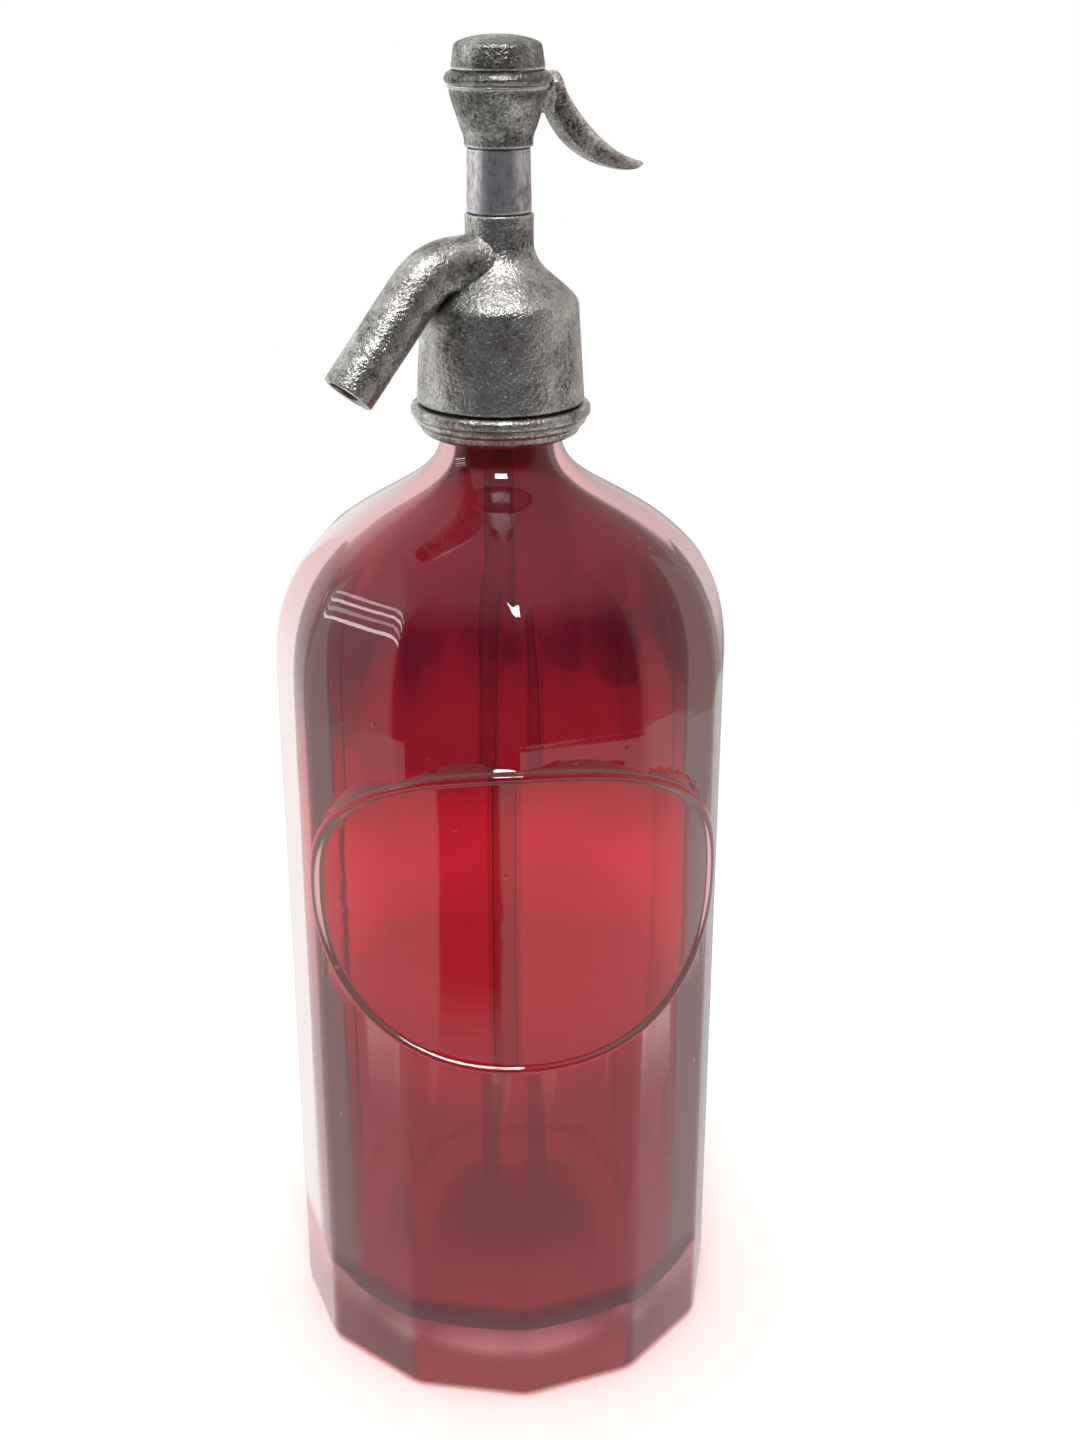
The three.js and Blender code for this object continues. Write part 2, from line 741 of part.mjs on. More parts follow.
// The tube between the bell and the lever housing, a cylinder for the piston.
function barrel() {
  const spigotTop = cupBearingTop - clearance;
  return revolve([
    [barrelBore, barrelFoot - barrelSpigotLength],
    [barrelSpigotRadius, barrelFoot - barrelSpigotLength],
    [barrelSpigotRadius, barrelFoot],
    [barrelFootRadius, barrelFoot],
    [barrelTopRadius, barrelTop],
    [barrelSpigotRadius, barrelTop],
    [barrelSpigotRadius, spigotTop],
    [barrelBore, spigotTop],
    [barrelBore, barrelFoot - barrelSpigotLength],
  ], headSegments);
}

// The flared cup that holds the lever, slotted on the lever's side.
function leverHousing() {
  const at = ([radius, height]) => [cupRadius * radius, cupFoot + cupHeight * height];
  const inside = cupOutlineShares.filter(([, height]) => height > 0.2 && height < 0.7).map(at);
  const hollow = inside.map(([radius, height]) => [radius - cupWall, height]).reverse();
  const cavityRadius = hollow[0][0];
  const threadFoot = cupFoot + cupHeight * cavityTopShare;
  const threadRadius = capSpigotRadius + clearance;
  const bearing = barrelSpigotRadius + clearance;
  const body = revolve([
    ...cupOutlineShares.map(at),
    [threadRadius, cupTop],
    [threadRadius, threadFoot],
    [cavityRadius, threadFoot],
    ...hollow,
    [barrelBore + clearance, cupBearingTop],
    [bearing, cupBearingTop],
    [bearing, cupFoot],
    at(cupOutlineShares[0]),
  ], headSegments);
  const slot = block(
    [pivotReach - hubRadius - clearance, -slotHalfWidth, cupFoot + cupHeight * slotFootShare],
    [cupRadius + overrun, slotHalfWidth, cupFoot + cupHeight * slotTopShare],
  );
  const pinHole = crossBar(pinRadius + pinClearance, cupRadius, pivotReach, pivotLevel, 12);
  return toGeometry(toSolid(body).subtract(toSolid(slot)).subtract(toSolid(pinHole)));
}

// The cap that closes the housing over the spring.
function cap() {
  const sideTop = capFoot + capSideHeight;
  const spigotFoot = capFoot - capSpigotLength;
  const crown = quarterRound([capRadius * 0.95, sideTop], [0, capTop], false, 4);
  return revolve([
    [0, capCeiling],
    [capBore, capCeiling],
    [capBore, spigotFoot],
    [capSpigotRadius, spigotFoot],
    [capSpigotRadius, capFoot],
    [capRadius, capFoot],
    [capRadius * 0.99, capFoot + capSideHeight / 2],
    ...crown,
  ], headSegments);
}

// The helix of the spring's wire, from its foot to its top.
class SpringHelix extends THREE.Curve {
  constructor(foot, top) {
    super();
    this.foot = foot;
    this.top = top;
  }

  getPoint(share) {
    const angle = share * springTurns * Math.PI * 2;
    const height = this.foot + (this.top - this.foot) * share;
    return new THREE.Vector3(springRadius * Math.cos(angle), springRadius * Math.sin(angle), height);
  }
}

// The spring under the cap, which closes the valve and returns the lever.
function valveSpring() {
  const inset = clearance + wireRadius;
  const helix = new SpringHelix(springSeatTop + inset, capCeiling - inset);
  const stepsPerTurn = 12;
  const points = helix.getSpacedPoints(springTurns * stepsPerTurn);
  let least = Infinity;
  for (let first = 0; first < points.length; first += 1) {
    for (let second = first + stepsPerTurn / 2; second < points.length; second += 1) {
      least = Math.min(least, points[first].distanceTo(points[second]));
    }
  }
  console.log(`least gap between the spring's turns: ${(least - wireRadius * 2).toFixed(2)} mm`);
  return tubeAlong(helix, wireRadius, 6, springTurns * stepsPerTurn);
}

// The horn that the thumb presses, lofted from its root to its tip.
function horn() {
  const length = hornTipReach - hornRootReach;
  const lowest = pivotLevel + hornCrest - hornFall;
  const at = ([along, up]) => new THREE.Vector3(hornRootReach + length * along, 0, lowest + hornFall * up);
  const rings = hornLowerShares.map((lowerShare, station) => {
    const lower = at(lowerShare);
    const upper = at(hornUpperShares[station]);
    const halfWidth = hornHalfWidth * hornWidthShares[station];
    const near = hornSectionShares.map(([up, out]) => lower.clone().lerp(upper, up).setY(-halfWidth * out));
    const far = near.map((point) => point.clone().setY(-point.y)).reverse();
    return [...near, ...far];
  });
  return loft(rings);
}

// The lever: horn, neck through the slot, hub on the pin, and a fork under the spring seat.
function lever() {
  const halfWidth = slotHalfWidth - clearance;
  const neckLow = pivotLevel - leverNeckDrop;
  const neck = block([pivotReach, -halfWidth, neckLow], [leverNeckReach, halfWidth, neckLow + leverNeckHeight]);
  const tipReach = pivotReach - liftArm;
  const arm = block(
    [tipReach, -halfWidth, pivotLevel - forkTipRadius],
    [pivotReach, halfWidth, pivotLevel + forkTipRadius],
  );
  const hub = crossBar(hubRadius, halfWidth, pivotReach, pivotLevel, 20);
  const tip = crossBar(forkTipRadius, halfWidth, tipReach, pivotLevel, 12);
  const gap = block(
    [tipReach - forkTipRadius - overrun, -forkGap, pivotLevel - hubRadius],
    [rodRadius + overrun, forkGap, pivotLevel + hubRadius],
  );
  const pinHole = crossBar(pinRadius + pinClearance, halfWidth + overrun, pivotReach, pivotLevel, 12);
  const whole = toSolid(horn()).add(toSolid(neck)).add(toSolid(arm)).add(toSolid(hub)).add(toSolid(tip));
  return toGeometry(whole.subtract(toSolid(gap)).subtract(toSolid(pinHole)));
}

// The pin that the lever turns on, held in the housing's cheeks.
function leverPin() {
  const wallRadius = cupRadius * 0.83;
  const halfLength = Math.sqrt(wallRadius ** 2 - pivotReach ** 2);
  return crossBar(pinRadius, halfLength, pivotReach, pivotLevel, 12);
}

const siphon = new THREE.Group();

// Adds a named piece with its finish.
function addPiece(name, geometry, finish) {
  const mesh = new THREE.Mesh(geometry, new THREE.MeshStandardMaterial(finish));
  mesh.name = name;
  siphon.add(mesh);
}

addPiece('bottle', bottle(), rubyGlass);
addPiece('neck_ring_front', neckRingHalf(-1), castPewter);
addPiece('neck_ring_back', neckRingHalf(1), castPewter);
addPiece('head_gasket', headGasket(), blackRubber);
addPiece('dip_tube', dipTube(), clearGlass);
addPiece('tube_sleeve', tubeSleeve(), blackRubber);
addPiece('tube_holder', tubeHolder(), castPewter);
addPiece('head_bell', headBell(), castPewter);
addPiece('spout', spout(), castPewter);
addPiece('valve_seat', valveSeat(), brass);
addPiece('valve_rubber', valveRubber(), blackRubber);
addPiece('valve_holder', valveHolder(), brass);
addPiece('piston_rod', pistonRod(), brass);
addPiece('cup_leather', cupLeather(), leather);
addPiece('cup_washer', cupWasher(), brass);
addPiece('cup_nut', rodNut(sealNutFoot), brass);
addPiece('barrel', barrel(), darkTube);
addPiece('lever_housing', leverHousing(), castPewter);
addPiece('spring_seat', springSeat(), brass);
addPiece('rod_nut', rodNut(headNutFoot), brass);
addPiece('valve_spring', valveSpring(), steel);
addPiece('cap', cap(), castPewter);
addPiece('lever', lever(), castPewter);
addPiece('lever_pin', leverPin(), steel);

export default siphon;
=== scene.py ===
"""A soda siphon: a ruby glass bottle cut to twelve flats, with a cast head, a thumb lever and a bent spout.

Metres, +Z up. The origin is the centre of the foot, the lever points along +X and the spout along -X.
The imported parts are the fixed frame. Smooth pieces stand for the ones that show, and the rest get their finishes.
"""

import json
import logging
import math
from contextlib import contextmanager
from dataclasses import dataclass
from enum import Enum
from typing import Any, Callable, Iterator, Mapping, Sequence

import bpy
from mathutils import Matrix, Vector


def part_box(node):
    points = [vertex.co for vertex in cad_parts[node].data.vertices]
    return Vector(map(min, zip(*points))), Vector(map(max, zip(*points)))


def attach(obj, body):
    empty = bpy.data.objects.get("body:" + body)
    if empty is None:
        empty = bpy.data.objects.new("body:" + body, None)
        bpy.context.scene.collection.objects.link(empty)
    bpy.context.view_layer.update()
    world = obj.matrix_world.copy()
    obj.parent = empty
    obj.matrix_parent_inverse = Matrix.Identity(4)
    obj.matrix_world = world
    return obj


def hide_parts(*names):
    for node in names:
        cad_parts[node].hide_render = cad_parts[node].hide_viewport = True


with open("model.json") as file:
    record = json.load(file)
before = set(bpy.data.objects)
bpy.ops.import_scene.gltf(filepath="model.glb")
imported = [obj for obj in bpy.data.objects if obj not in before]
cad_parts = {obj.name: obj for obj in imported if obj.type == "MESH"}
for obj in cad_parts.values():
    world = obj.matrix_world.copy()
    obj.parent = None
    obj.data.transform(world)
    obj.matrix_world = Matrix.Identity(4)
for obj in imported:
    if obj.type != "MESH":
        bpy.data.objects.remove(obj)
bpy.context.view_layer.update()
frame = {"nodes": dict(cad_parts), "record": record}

log = logging.getLogger("siphon")

MM = 0.001
TINY = 0.001 * MM

Point = Span = tuple[float, float]
Corner = Direction = tuple[float, float, float]
Piece = bpy.types.Object
Material = bpy.types.Material
Tree = bpy.types.NodeTree
Link = bpy.types.Node | bpy.types.NodeSocket
Tint = Callable[[Tree, Link], Link | str]

# The sockets of a Mix node for colours, and the settings that many nodes share.
SHARE, UNDER, OVER = 0, 6, 7
COLOURS = {"data_type": "RGBA"}
EASED = {"interpolation_type": "SMOOTHSTEP"}
TIMES = {"operation": "MULTIPLY"}
EITHER = {"operation": "MAXIMUM"}
PAST = {"operation": "GREATER_THAN"}
WHITE = "#FFFFFF"


class Body(Enum):
    """The bodies that pieces ride on."""

    ROOT = "root"
    LEVER = "lever"


class Slot(Enum):
    """The material slots of the record."""

    RUBY_GLASS = "ruby_glass"
    TUBE_GLASS = "tube_glass"
    CAST_METAL = "cast_metal"
    BARREL_METAL = "barrel_metal"
    BRASS = "brass"
    STEEL = "spring_steel"
    RUBBER = "rubber"
    LEATHER = "leather"


# Colour and material helpers


def linear(code: str) -> tuple[float, float, float, float]:
    """Turns an sRGB hex value into linear red, green and blue, with a full alpha.

    Args:
        code: six hex digits after a hash sign.

    Returns:
        Four numbers for a colour socket.
    """
    shares = [int(code[start:start + 2], 16) / 255 for start in (1, 3, 5)]
    channels = [share / 12.92 if share <= 0.04045 else ((share + 0.055) / 1.055) ** 2.4 for share in shares]
    return (*channels, 1.0)


def per_metre(size: float) -> float:
    """Returns the texture scale whose features are about this size in metres."""
    return 1 / size


def add_node(
    tree: Tree, kind: str, inputs: Mapping[Any, Any], stops: Sequence[tuple[float, str]] = (), **settings: Any,
) -> bpy.types.Node:
    """Adds a node, sets its properties and fills its sockets.

    Args:
        tree: the node tree that takes the node.
        kind: the node's type name after ShaderNode.
        inputs: for each socket's name or number a value, a hex colour, a socket, or a node for its first output.
        stops: places and hex colours of a ramp, from 0 to 1.
        **settings: properties of the node.

    Returns:
        The node.
    """
    made = tree.nodes.new(f"ShaderNode{kind}")
    for name, value in settings.items():
        setattr(made, name, value)
    if stops:
        bands = made.color_ramp.elements
        bands[0].color, bands[1].color = linear(stops[0][1]), linear(stops[-1][1])
        for place, code in stops[1:-1]:
            bands.new(place).color = linear(code)
    for name, value in inputs.items():
        if isinstance(value, bpy.types.Node):
            value = next(output for output in value.outputs if output.enabled)
        if isinstance(value, bpy.types.NodeSocket):
            tree.links.new(value, made.inputs[name])
        else:
            made.inputs[name].default_value = linear(value) if isinstance(value, str) else value
    return made


def new_material(name: str) -> tuple[Material, Tree, Link]:
    """Makes an empty node material.

    Args:
        name: the finish in plain words.

    Returns:
        The material, its node tree and the socket of a point's place in metres.
    """
    material = bpy.data.materials.new(name)
    material.use_nodes = True
    tree = material.node_tree
    tree.nodes.clear()
    return material, tree, add_node(tree, "TexCoord", {}).outputs["Object"]


def between(span: Span) -> dict[str, float]:
    """Returns the sockets of a share that grows from the span's start to its end."""
    return {"From Min": span[0], "From Max": span[1]}


def towards(tree: Tree, way: Link, target: Direction, span: Span) -> Link:
    """Grows from 0 to 1 as a direction turns to a target.

    Args:
        tree: the nodes that take it.
        way: the direction.
        target: the direction where the share is 1.
        span: the cosines where the growth starts and ends.

    Returns:
        The share.
    """
    along = add_node(tree, "VectorMath", {0: way, 1: target}, operation="DOT_PRODUCT")
    return add_node(tree, "MapRange", {"Value": along, **between(span)}, **EASED)


# Modelling helpers


def deselect() -> None:
    """Leaves nothing selected in object mode."""
    for chosen in list(bpy.context.selected_objects):
        chosen.select_set(False)


def make_active(piece: Piece) -> None:
    """Selects one piece alone and makes it active.

    Args:
        piece: the piece.
    """
    deselect()
    piece.select_set(True)
    bpy.context.view_layer.objects.active = piece


def begin(name: str, primitive: Callable[..., Any], **settings: Any) -> Piece:
    """Adds a primitive as the start of a piece.

    Args:
        name: the piece's name.
        primitive: the operator that adds it.
        **settings: the operator's settings.

    Returns:
        The new object.
    """
    deselect()
    primitive(**settings)
    piece = bpy.context.active_object
    piece.name = name
    piece.data.name = name
    return piece


@contextmanager
def editing(piece: Piece, mode: str = "VERT") -> Iterator[None]:
    """Opens a piece in edit mode with all of it selected, and closes it again.

    Args:
        piece: the piece to edit.
        mode: VERT, EDGE or FACE.
    """
    make_active(piece)
    bpy.ops.object.mode_set(mode="EDIT")
    bpy.ops.mesh.select_mode(type=mode)
    bpy.ops.mesh.select_all(action="SELECT")
    yield
    bpy.ops.object.mode_set(mode="OBJECT")


def bake_place(piece: Piece) -> None:
    """Moves a piece's place, turn and scale into its mesh."""
    make_active(piece)
    bpy.ops.object.transform_apply(location=True, rotation=True, scale=True)


def combine(piece: Piece, tool: Piece, operation: str) -> None:
    """Joins a piece with another one or cuts it by that one, which is then removed.

    Args:
        piece: the piece that is changed.
        tool: the piece that is used up.
        operation: UNION or DIFFERENCE.
    """
    make_active(piece)
    modifier = piece.modifiers.new("Boolean", "BOOLEAN")
    modifier.operation, modifier.solver, modifier.object = operation, "EXACT", tool
    bpy.ops.object.modifier_apply(modifier=modifier.name)
    bpy.data.objects.remove(tool)


def face_outward(piece: Piece) -> None:
    """Merges the doubles of a closed mesh and turns its faces outward.

    Args:
        piece: the closed mesh.
    """
    with editing(piece):
        bpy.ops.mesh.remove_doubles(threshold=TINY)
        bpy.ops.mesh.normals_make_consistent(inside=False)


def curve(start: Point, start_handle: Point, end_handle: Point, end: Point, steps: int) -> list[Point]:
    """Points of a Bezier curve, both ends included.

    Args:
        start: the first point.
        start_handle: the handle that the curve leaves towards.
        end_handle: the handle that it comes from at its end.
        end: the last point.
        steps: spans of the curve.

    Returns:
        The points.
    """
    points = []
    for step in range(steps + 1):
        t = step / steps
        weights = ((1 - t) ** 3, 3 * t * (1 - t) ** 2, 3 * t * t * (1 - t), t ** 3)
        spots = (start, start_handle, end_handle, end)
        points.append(tuple(sum(w * spot[axis] for w, spot in zip(weights, spots)) for axis in (0, 1)))
    return points


def crown(side: Point, slope: Point, rise: float, shares: Corner, steps: int) -> list[Point]:
    """The bulging half of a shoulder, up from an upright side.

    Args:
        side: where the side ends.
        slope: where the bulge ends.
        rise: the height that the handles are shares of.
        shares: the first handle's lift, and the second one's reach back to the side and its drop.
        steps: spans of the curve.

    Returns:
        The points, both ends included.
    """
    lift, reach, drop = shares
    back = (slope[0] + (side[0] - slope[0]) * reach, slope[1] - rise * drop)
    return curve(side, (side[0], side[1] + rise * lift), back, slope, steps)


def sweep(slope: Point, neck: Point, rise: float, shares: Corner, steps: int) -> list[Point]:
    """The hollow half of a shoulder, up into an upright neck.

    Args:
        slope: where the hollow starts.
        neck: where the neck starts.
        rise: the height that the handles are shares of.
        shares: the first handle's reach back from the neck and its lift, and the second one's lift.
        steps: spans of the curve.

    Returns:
        The points, both ends included.
    """
    reach, lift, last = shares
    ahead = (neck[0] + (slope[0] - neck[0]) * reach, slope[1] + rise * lift)
    return curve(slope, ahead, (neck[0], slope[1] + rise * last), neck, steps)


def radius_at(outline: Sequence[Point], height: float) -> float:
    """The radius of a rising outline at a height, and past an end the radius of that end.

    Args:
        outline: points of radius and height, from low to high.
        height: the height.

    Returns:
        The radius.
    """
    for (low_radius, low), (high_radius, high) in zip(outline, outline[1:]):
        if low <= height <= high:
            return low_radius + (high_radius - low_radius) * (height - low) / max(high - low, TINY)
    return outline[-1][0] if height > outline[-1][1] else outline[0][0]


def rounded(corners: Sequence[Corner], steps: int = 4) -> list[Point]:
    """Rounds the corners of an open outline.

    Args:
        corners: radius, height and rounding of each corner. The ends aren't rounded.
        steps: spans in each rounding.

    Returns:
        The outline's points.
    """
    spots = [Vector(corner[:2]) for corner in corners]
    points = [tuple(spots[0])]
    for before, spot, after, corner in zip(spots, spots[1:], spots[2:], corners[1:]):
        back, ahead = before - spot, after - spot
        reach = min(corner[2], back.length / 2, ahead.length / 2)
        if reach <= 0:
            points.append(tuple(spot))
            continue
        first = spot + back.normalized() * reach
        last = spot + ahead.normalized() * reach
        for step in range(steps + 1):
            t = step / steps
            points.append(tuple(first * (1 - t) ** 2 + spot * 2 * t * (1 - t) + last * t * t))
    return [*points, tuple(spots[-1])]


def through(values: Sequence[Sequence[float]], steps: int) -> list[tuple[float, ...]]:
    """A smooth chain of points through the given ones.

    Args:
        values: points of any number of coordinates.
        steps: spans between two of them.

    Returns:
        The points of a Catmull-Rom curve.
    """
    padded = [values[0], *values, values[-1]]
    points = []
    for a, b, c, d in zip(padded, padded[1:], padded[2:], padded[3:]):
        for step in range(steps):
            t = step / steps
            cube, square = t ** 3, t * t
            weights = (-cube + 2 * square - t, 3 * cube - 5 * square + 2, -3 * cube + 4 * square + t, cube - square)
            points.append(tuple(sum(w * v for w, v in zip(weights, column)) / 2 for column in zip(a, b, c, d)))
    return [*points, tuple(values[-1])]


def trace(name: str, outline: Sequence[Point]) -> Piece:
    """Draws an outline in the XZ plane with one extrude for each point.

    Args:
        name: the piece's name.
        outline: points of radius and height.

    Returns:
        A piece that holds the chain of edges.
    """
    piece = begin(name, bpy.ops.mesh.primitive_plane_add, size=MM)
    spots = [Vector((radius, 0, height)) for radius, height in outline]
    with editing(piece):
        bpy.ops.mesh.merge(type="CENTER")
        bpy.ops.transform.translate(value=spots[0])
        for here, there in zip(spots, spots[1:]):
            bpy.ops.mesh.extrude_region_move(TRANSFORM_OT_translate={"value": there - here})
    return piece


def revolve(name: str, outline: Sequence[Point], steps: int) -> Piece:
    """Spins an outline about the siphon's axis into a closed piece.

    Args:
        name: the piece's name.
        outline: points of radius and height, closed on itself or ending on the axis.
        steps: facets round the axis.

    Returns:
        The piece.
    """
    piece = trace(name, outline)
    with editing(piece):
        bpy.ops.mesh.spin(steps=steps, angle=math.tau, center=(0, 0, 0), axis=(0, 0, 1))
    face_outward(piece)
    return piece


def loft(name: str, sides: int, stations: int, place: Callable[[int, float], Vector]) -> Piece:
    """Extrudes a disc once for each station and sets its rings on their sections.

    Args:
        name: the piece's name.
        sides: points round each section.
        stations: number of spans between sections.
        place: gives a point from the section's number and the turn round it.

    Returns:
        The piece, closed by a face at each end.
    """
    piece = begin(name, bpy.ops.mesh.primitive_circle_add, vertices=sides, radius=1, fill_type="NGON")
    with editing(piece, "FACE"):
        for _ in range(stations):
            bpy.ops.mesh.extrude_region_move(TRANSFORM_OT_translate={"value": (0, 0, 1)})
    for vertex in piece.data.vertices:
        vertex.co = place(round(vertex.co.z), math.atan2(vertex.co.y, vertex.co.x))
    face_outward(piece)
    return piece


def slab(name: str, low: Vector, high: Vector, rounding: float) -> Piece:
    """A block between two corners, with its edges rounded.

    Args:
        name: the piece's name.
        low: its corner with the least coordinates.
        high: its corner with the greatest ones.
        rounding: how far its edges are set back.

    Returns:
        The piece.
    """
    piece = begin(name, bpy.ops.mesh.primitive_cube_add, size=1, location=(low + high) / 2)
    piece.scale = high - low
    bake_place(piece)
    with editing(piece, "EDGE"):
        bpy.ops.mesh.bevel(offset=rounding, segments=3, affect="EDGES")
    return piece


def cross_bar(name: str, radius: float, half_length: float, place: Vector, rounding: float) -> Piece:
    """A round bar along Y, with its rims rounded.

    Args:
        name: the piece's name.
        radius: the bar's radius.
        half_length: half of its length.
        place: its middle.
        rounding: the rounding of its rims.

    Returns:
        The piece.
    """
    outline = rounded([
        (0, -half_length, 0),
        (radius, -half_length, rounding),
        (radius, half_length, rounding),
        (0, half_length, 0),
    ])
    piece = revolve(name, outline, 48)
    piece.matrix_world = Matrix.Translation(place) @ Matrix.Rotation(math.radians(90), 4, "X")
    bake_place(piece)
    return piece


def finish_piece(
    piece: Piece, materials: Sequence[Material], slot: Slot, body: Body, *nodes: str, crease: float = 35.0,
) -> None:
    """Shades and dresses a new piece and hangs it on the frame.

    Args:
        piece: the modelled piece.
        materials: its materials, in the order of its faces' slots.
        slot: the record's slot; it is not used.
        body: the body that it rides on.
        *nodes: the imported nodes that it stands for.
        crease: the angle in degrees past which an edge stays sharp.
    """
    make_active(piece)
    bpy.ops.object.shade_smooth_by_angle(angle=math.radians(crease))
    if not piece.data.materials:
        for material in materials:
            piece.data.materials.append(material)
    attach(piece, body.value)
    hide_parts(*nodes)
    log.info("%s: %d faces on %s", piece.name, len(piece.data.polygons), body.value)


# Finishes


@dataclass(frozen=True)
class RubyGlass:
    """Pressed glass of a smoky rose, stained ruby on its inner wall.

    The stain lies inside, so the thick foot and the rims stay rose grey and the hollow glows red. Rays that the
    glass has mirrored inside itself end in a painted glow, pale on the lit side and dark on the other. The rims,
    the foot and the outline also carry painted light and shade.
    """

    smoky: str = "#D88A8E"
    # Painted light on the rims: pale on the window's side, grey painted shade on the other, darker towards the neck.
    lit_rim: str = "#FAEFEC"
    shaded_rim: str = "#C09C9C"
    rim_span: Span = (0.55, 0.85)
    lit_rim_side: Direction = (-0.835, 0.55, 0.0)
    lit_rim_span: Span = (0.55, 0.9)
    neck_rim: str = "#74464F"
    neck_span: Span = (198 * MM, 222 * MM)
    # A thin grey painted shade along the glass's outline.
    outline: str = "#A0949A"
    edge_shade_span: Span = (0.84, 0.95)
    edge_shade_share: float = 0.45
    foot_wall: str = "#F4A6A8"
    foot_span: Span = (15 * MM, 6 * MM)
    # Painted shade in the foot: under the floor of the hollow, a darker painted line at its edge, grey on askew flats.
    floor_shade: str = "#9C6878"
    floor_span: Span = (7 * MM, 19 * MM)
    floor_shade_line: str = "#744A5A"
    line_start: Span = (20 * MM, 24 * MM)
    line_end: Span = (27.5 * MM, 25.5 * MM)
    side_shade: str = "#90928A"
    askew_span: Span = (0.3, 0.42)
    foot: str = "#F07C80"
    foot_pale: str = "#D08890"
    foot_roughness: float = 0.45
    lit_through: str = "#DDA6A9"
    # Painted glow for rays mirrored inside the glass: pale on the lit side, dark on the other, rose low in the foot.
    lit_side: Direction = (0.407, 0.914, 0.0)
    lit_span: Span = (-0.28, -0.16)
    painted_glow_red: str = "#8A1828"
    painted_glow_grey: str = "#7C6E6A"
    painted_glow_pale: str = "#F6ECEA"
    painted_glow_foot: str = "#7C424A"
    lit_foot: str = "#DC7C82"
    low_span: Span = (24 * MM, 15 * MM)
    lime: float = 0.2
    lime_span: Span = (115 * MM, 30 * MM)
    turns: float = 8.5
    mirrored_turns: float = 0.5
    entries: float = 0.5
    ior: float = 1.52
    outer_ripple: float = 0.10 * MM
    inner_ripple: float = 0.16 * MM
    wave: float = 22 * MM
    line: float = 4 * MM
    line_depth: float = 0.03 * MM
    bubble_spacing: float = 9 * MM
    bubble_span: Span = (0.07, 0.035)
    bubble_depth: float = 0.12 * MM
    bare_share: float = 0.72
    cloud: float = 45 * MM
    cloud_drift: float = 40 * MM
    scuff: float = 18 * MM
    stain_height: float = 240 * MM
    stain: tuple[tuple[float, str], ...] = (
        (0.0, "#9A364E"), (0.34, "#AA384E"), (0.45, "#FF4460"), (0.6, "#F43C54"),
        (0.69, "#78183A"), (0.79, "#7C1C42"), (0.86, "#D04C6A"), (0.92, "#7E2E44"), (1.0, "#5E2C3C"),
    )

    def stain_colour(self, tree: Tree, spot: Link) -> Link:
        """Builds the stain, whose depth drifts with height and in slow clouds.

        Args:
            tree: the material's nodes.
            spot: the place in metres.

        Returns:
            The colour.
        """
        clouds = add_node(tree, "TexNoise", {"Vector": spot, "Scale": per_metre(self.cloud), "Detail": 2.0})
        height = add_node(tree, "SeparateXYZ", {0: spot}).outputs["Z"]
        drift = add_node(tree, "Math", {
            0: clouds, 1: self.cloud_drift, 2: -self.cloud_drift / 2,
        }, operation="MULTIPLY_ADD")
        level = add_node(tree, "Math", {0: height, 1: drift}, operation="ADD")
        share = add_node(tree, "MapRange", {"Value": level, "From Max": self.stain_height})
        return add_node(tree, "ValToRGB", {"Fac": share}, stops=self.stain)

    def side_share(self, tree: Tree, spot: Link, side: Direction, span: Span) -> Link:
        """Grows from 0 to 1 towards one side of the bottle.

        Args:
            tree: the material's nodes.
            spot: the place in metres.
            side: the direction of that side from the axis.
            span: the cosines where the growth starts and ends.

        Returns:
            The share.
        """
        flat = add_node(tree, "VectorMath", {0: spot, 1: (1, 1, 0)}, **TIMES)
        way = add_node(tree, "VectorMath", {0: flat}, operation="NORMALIZE")
        return towards(tree, way, side, span)

    def near_side(self, tree: Tree) -> Link:
        """Returns 1 where a ray meets the glass from outside and 0 where it meets it from within."""
        within = add_node(tree, "NewGeometry", {}).outputs["Backfacing"]
        return add_node(tree, "Math", {0: 1.0, 1: within}, operation="SUBTRACT")

    def outer_painted_glow(self, tree: Tree, spot: Link) -> Link:
        """Builds the casing's painted glow: pale on the lit side, rose in the foot, grey elsewhere.

        Args:
            tree: the material's nodes.
            spot: the place in metres.

        Returns:
            The colour.
        """
        lit = self.side_share(tree, spot, self.lit_side, self.lit_span)
        upright, foot = (
            add_node(tree, "Mix", {SHARE: lit, UNDER: dim, OVER: bright}, **COLOURS)
            for dim, bright in ((self.painted_glow_grey, self.painted_glow_pale), (self.painted_glow_foot, self.lit_foot))
        )
        height = add_node(tree, "SeparateXYZ", {0: spot}).outputs["Z"]
        low = add_node(tree, "MapRange", {"Value": height, **between(self.low_span)}, **EASED)
        return add_node(tree, "Mix", {SHARE: low, UNDER: upright, OVER: foot}, **COLOURS)

    def inner_painted_glow(self, tree: Tree, spot: Link) -> str:
        """Returns the painted glow of the stained wall, a deep even red."""
        return self.painted_glow_red

    def rim_colour(self, tree: Tree, spot: Link) -> Link:
        """Builds the outer tint. Where the eye skims the wall it turns to painted light on the window's side, a grey
        painted shade on the other side, and darker towards the neck.

        Args:
            tree: the material's nodes.
            spot: the place in metres.

        Returns:
            The colour.
        """
        facing = add_node(tree, "LayerWeight", {"Blend": 0.5}).outputs["Facing"]
        share = add_node(tree, "MapRange", {"Value": facing, **between(self.rim_span)}, **EASED)
        side = self.side_share(tree, spot, self.lit_rim_side, self.lit_rim_span)
        height = add_node(tree, "SeparateXYZ", {0: spot}).outputs["Z"]
        upper = add_node(tree, "MapRange", {"Value": height, **between(self.neck_span)}, **EASED)
        # Painted light: a pale rim on the window's side over a grey painted shade, darker towards the neck.
        rim: Link | str = self.shaded_rim
        for part, colour in ((side, self.lit_rim), (upper, self.neck_rim)):
            rim = add_node(tree, "Mix", {SHARE: part, UNDER: rim, OVER: colour}, **COLOURS)
        wall = self.wall_colour(tree, height, facing)
        return add_node(tree, "Mix", {SHARE: share, UNDER: wall, OVER: rim}, **COLOURS)

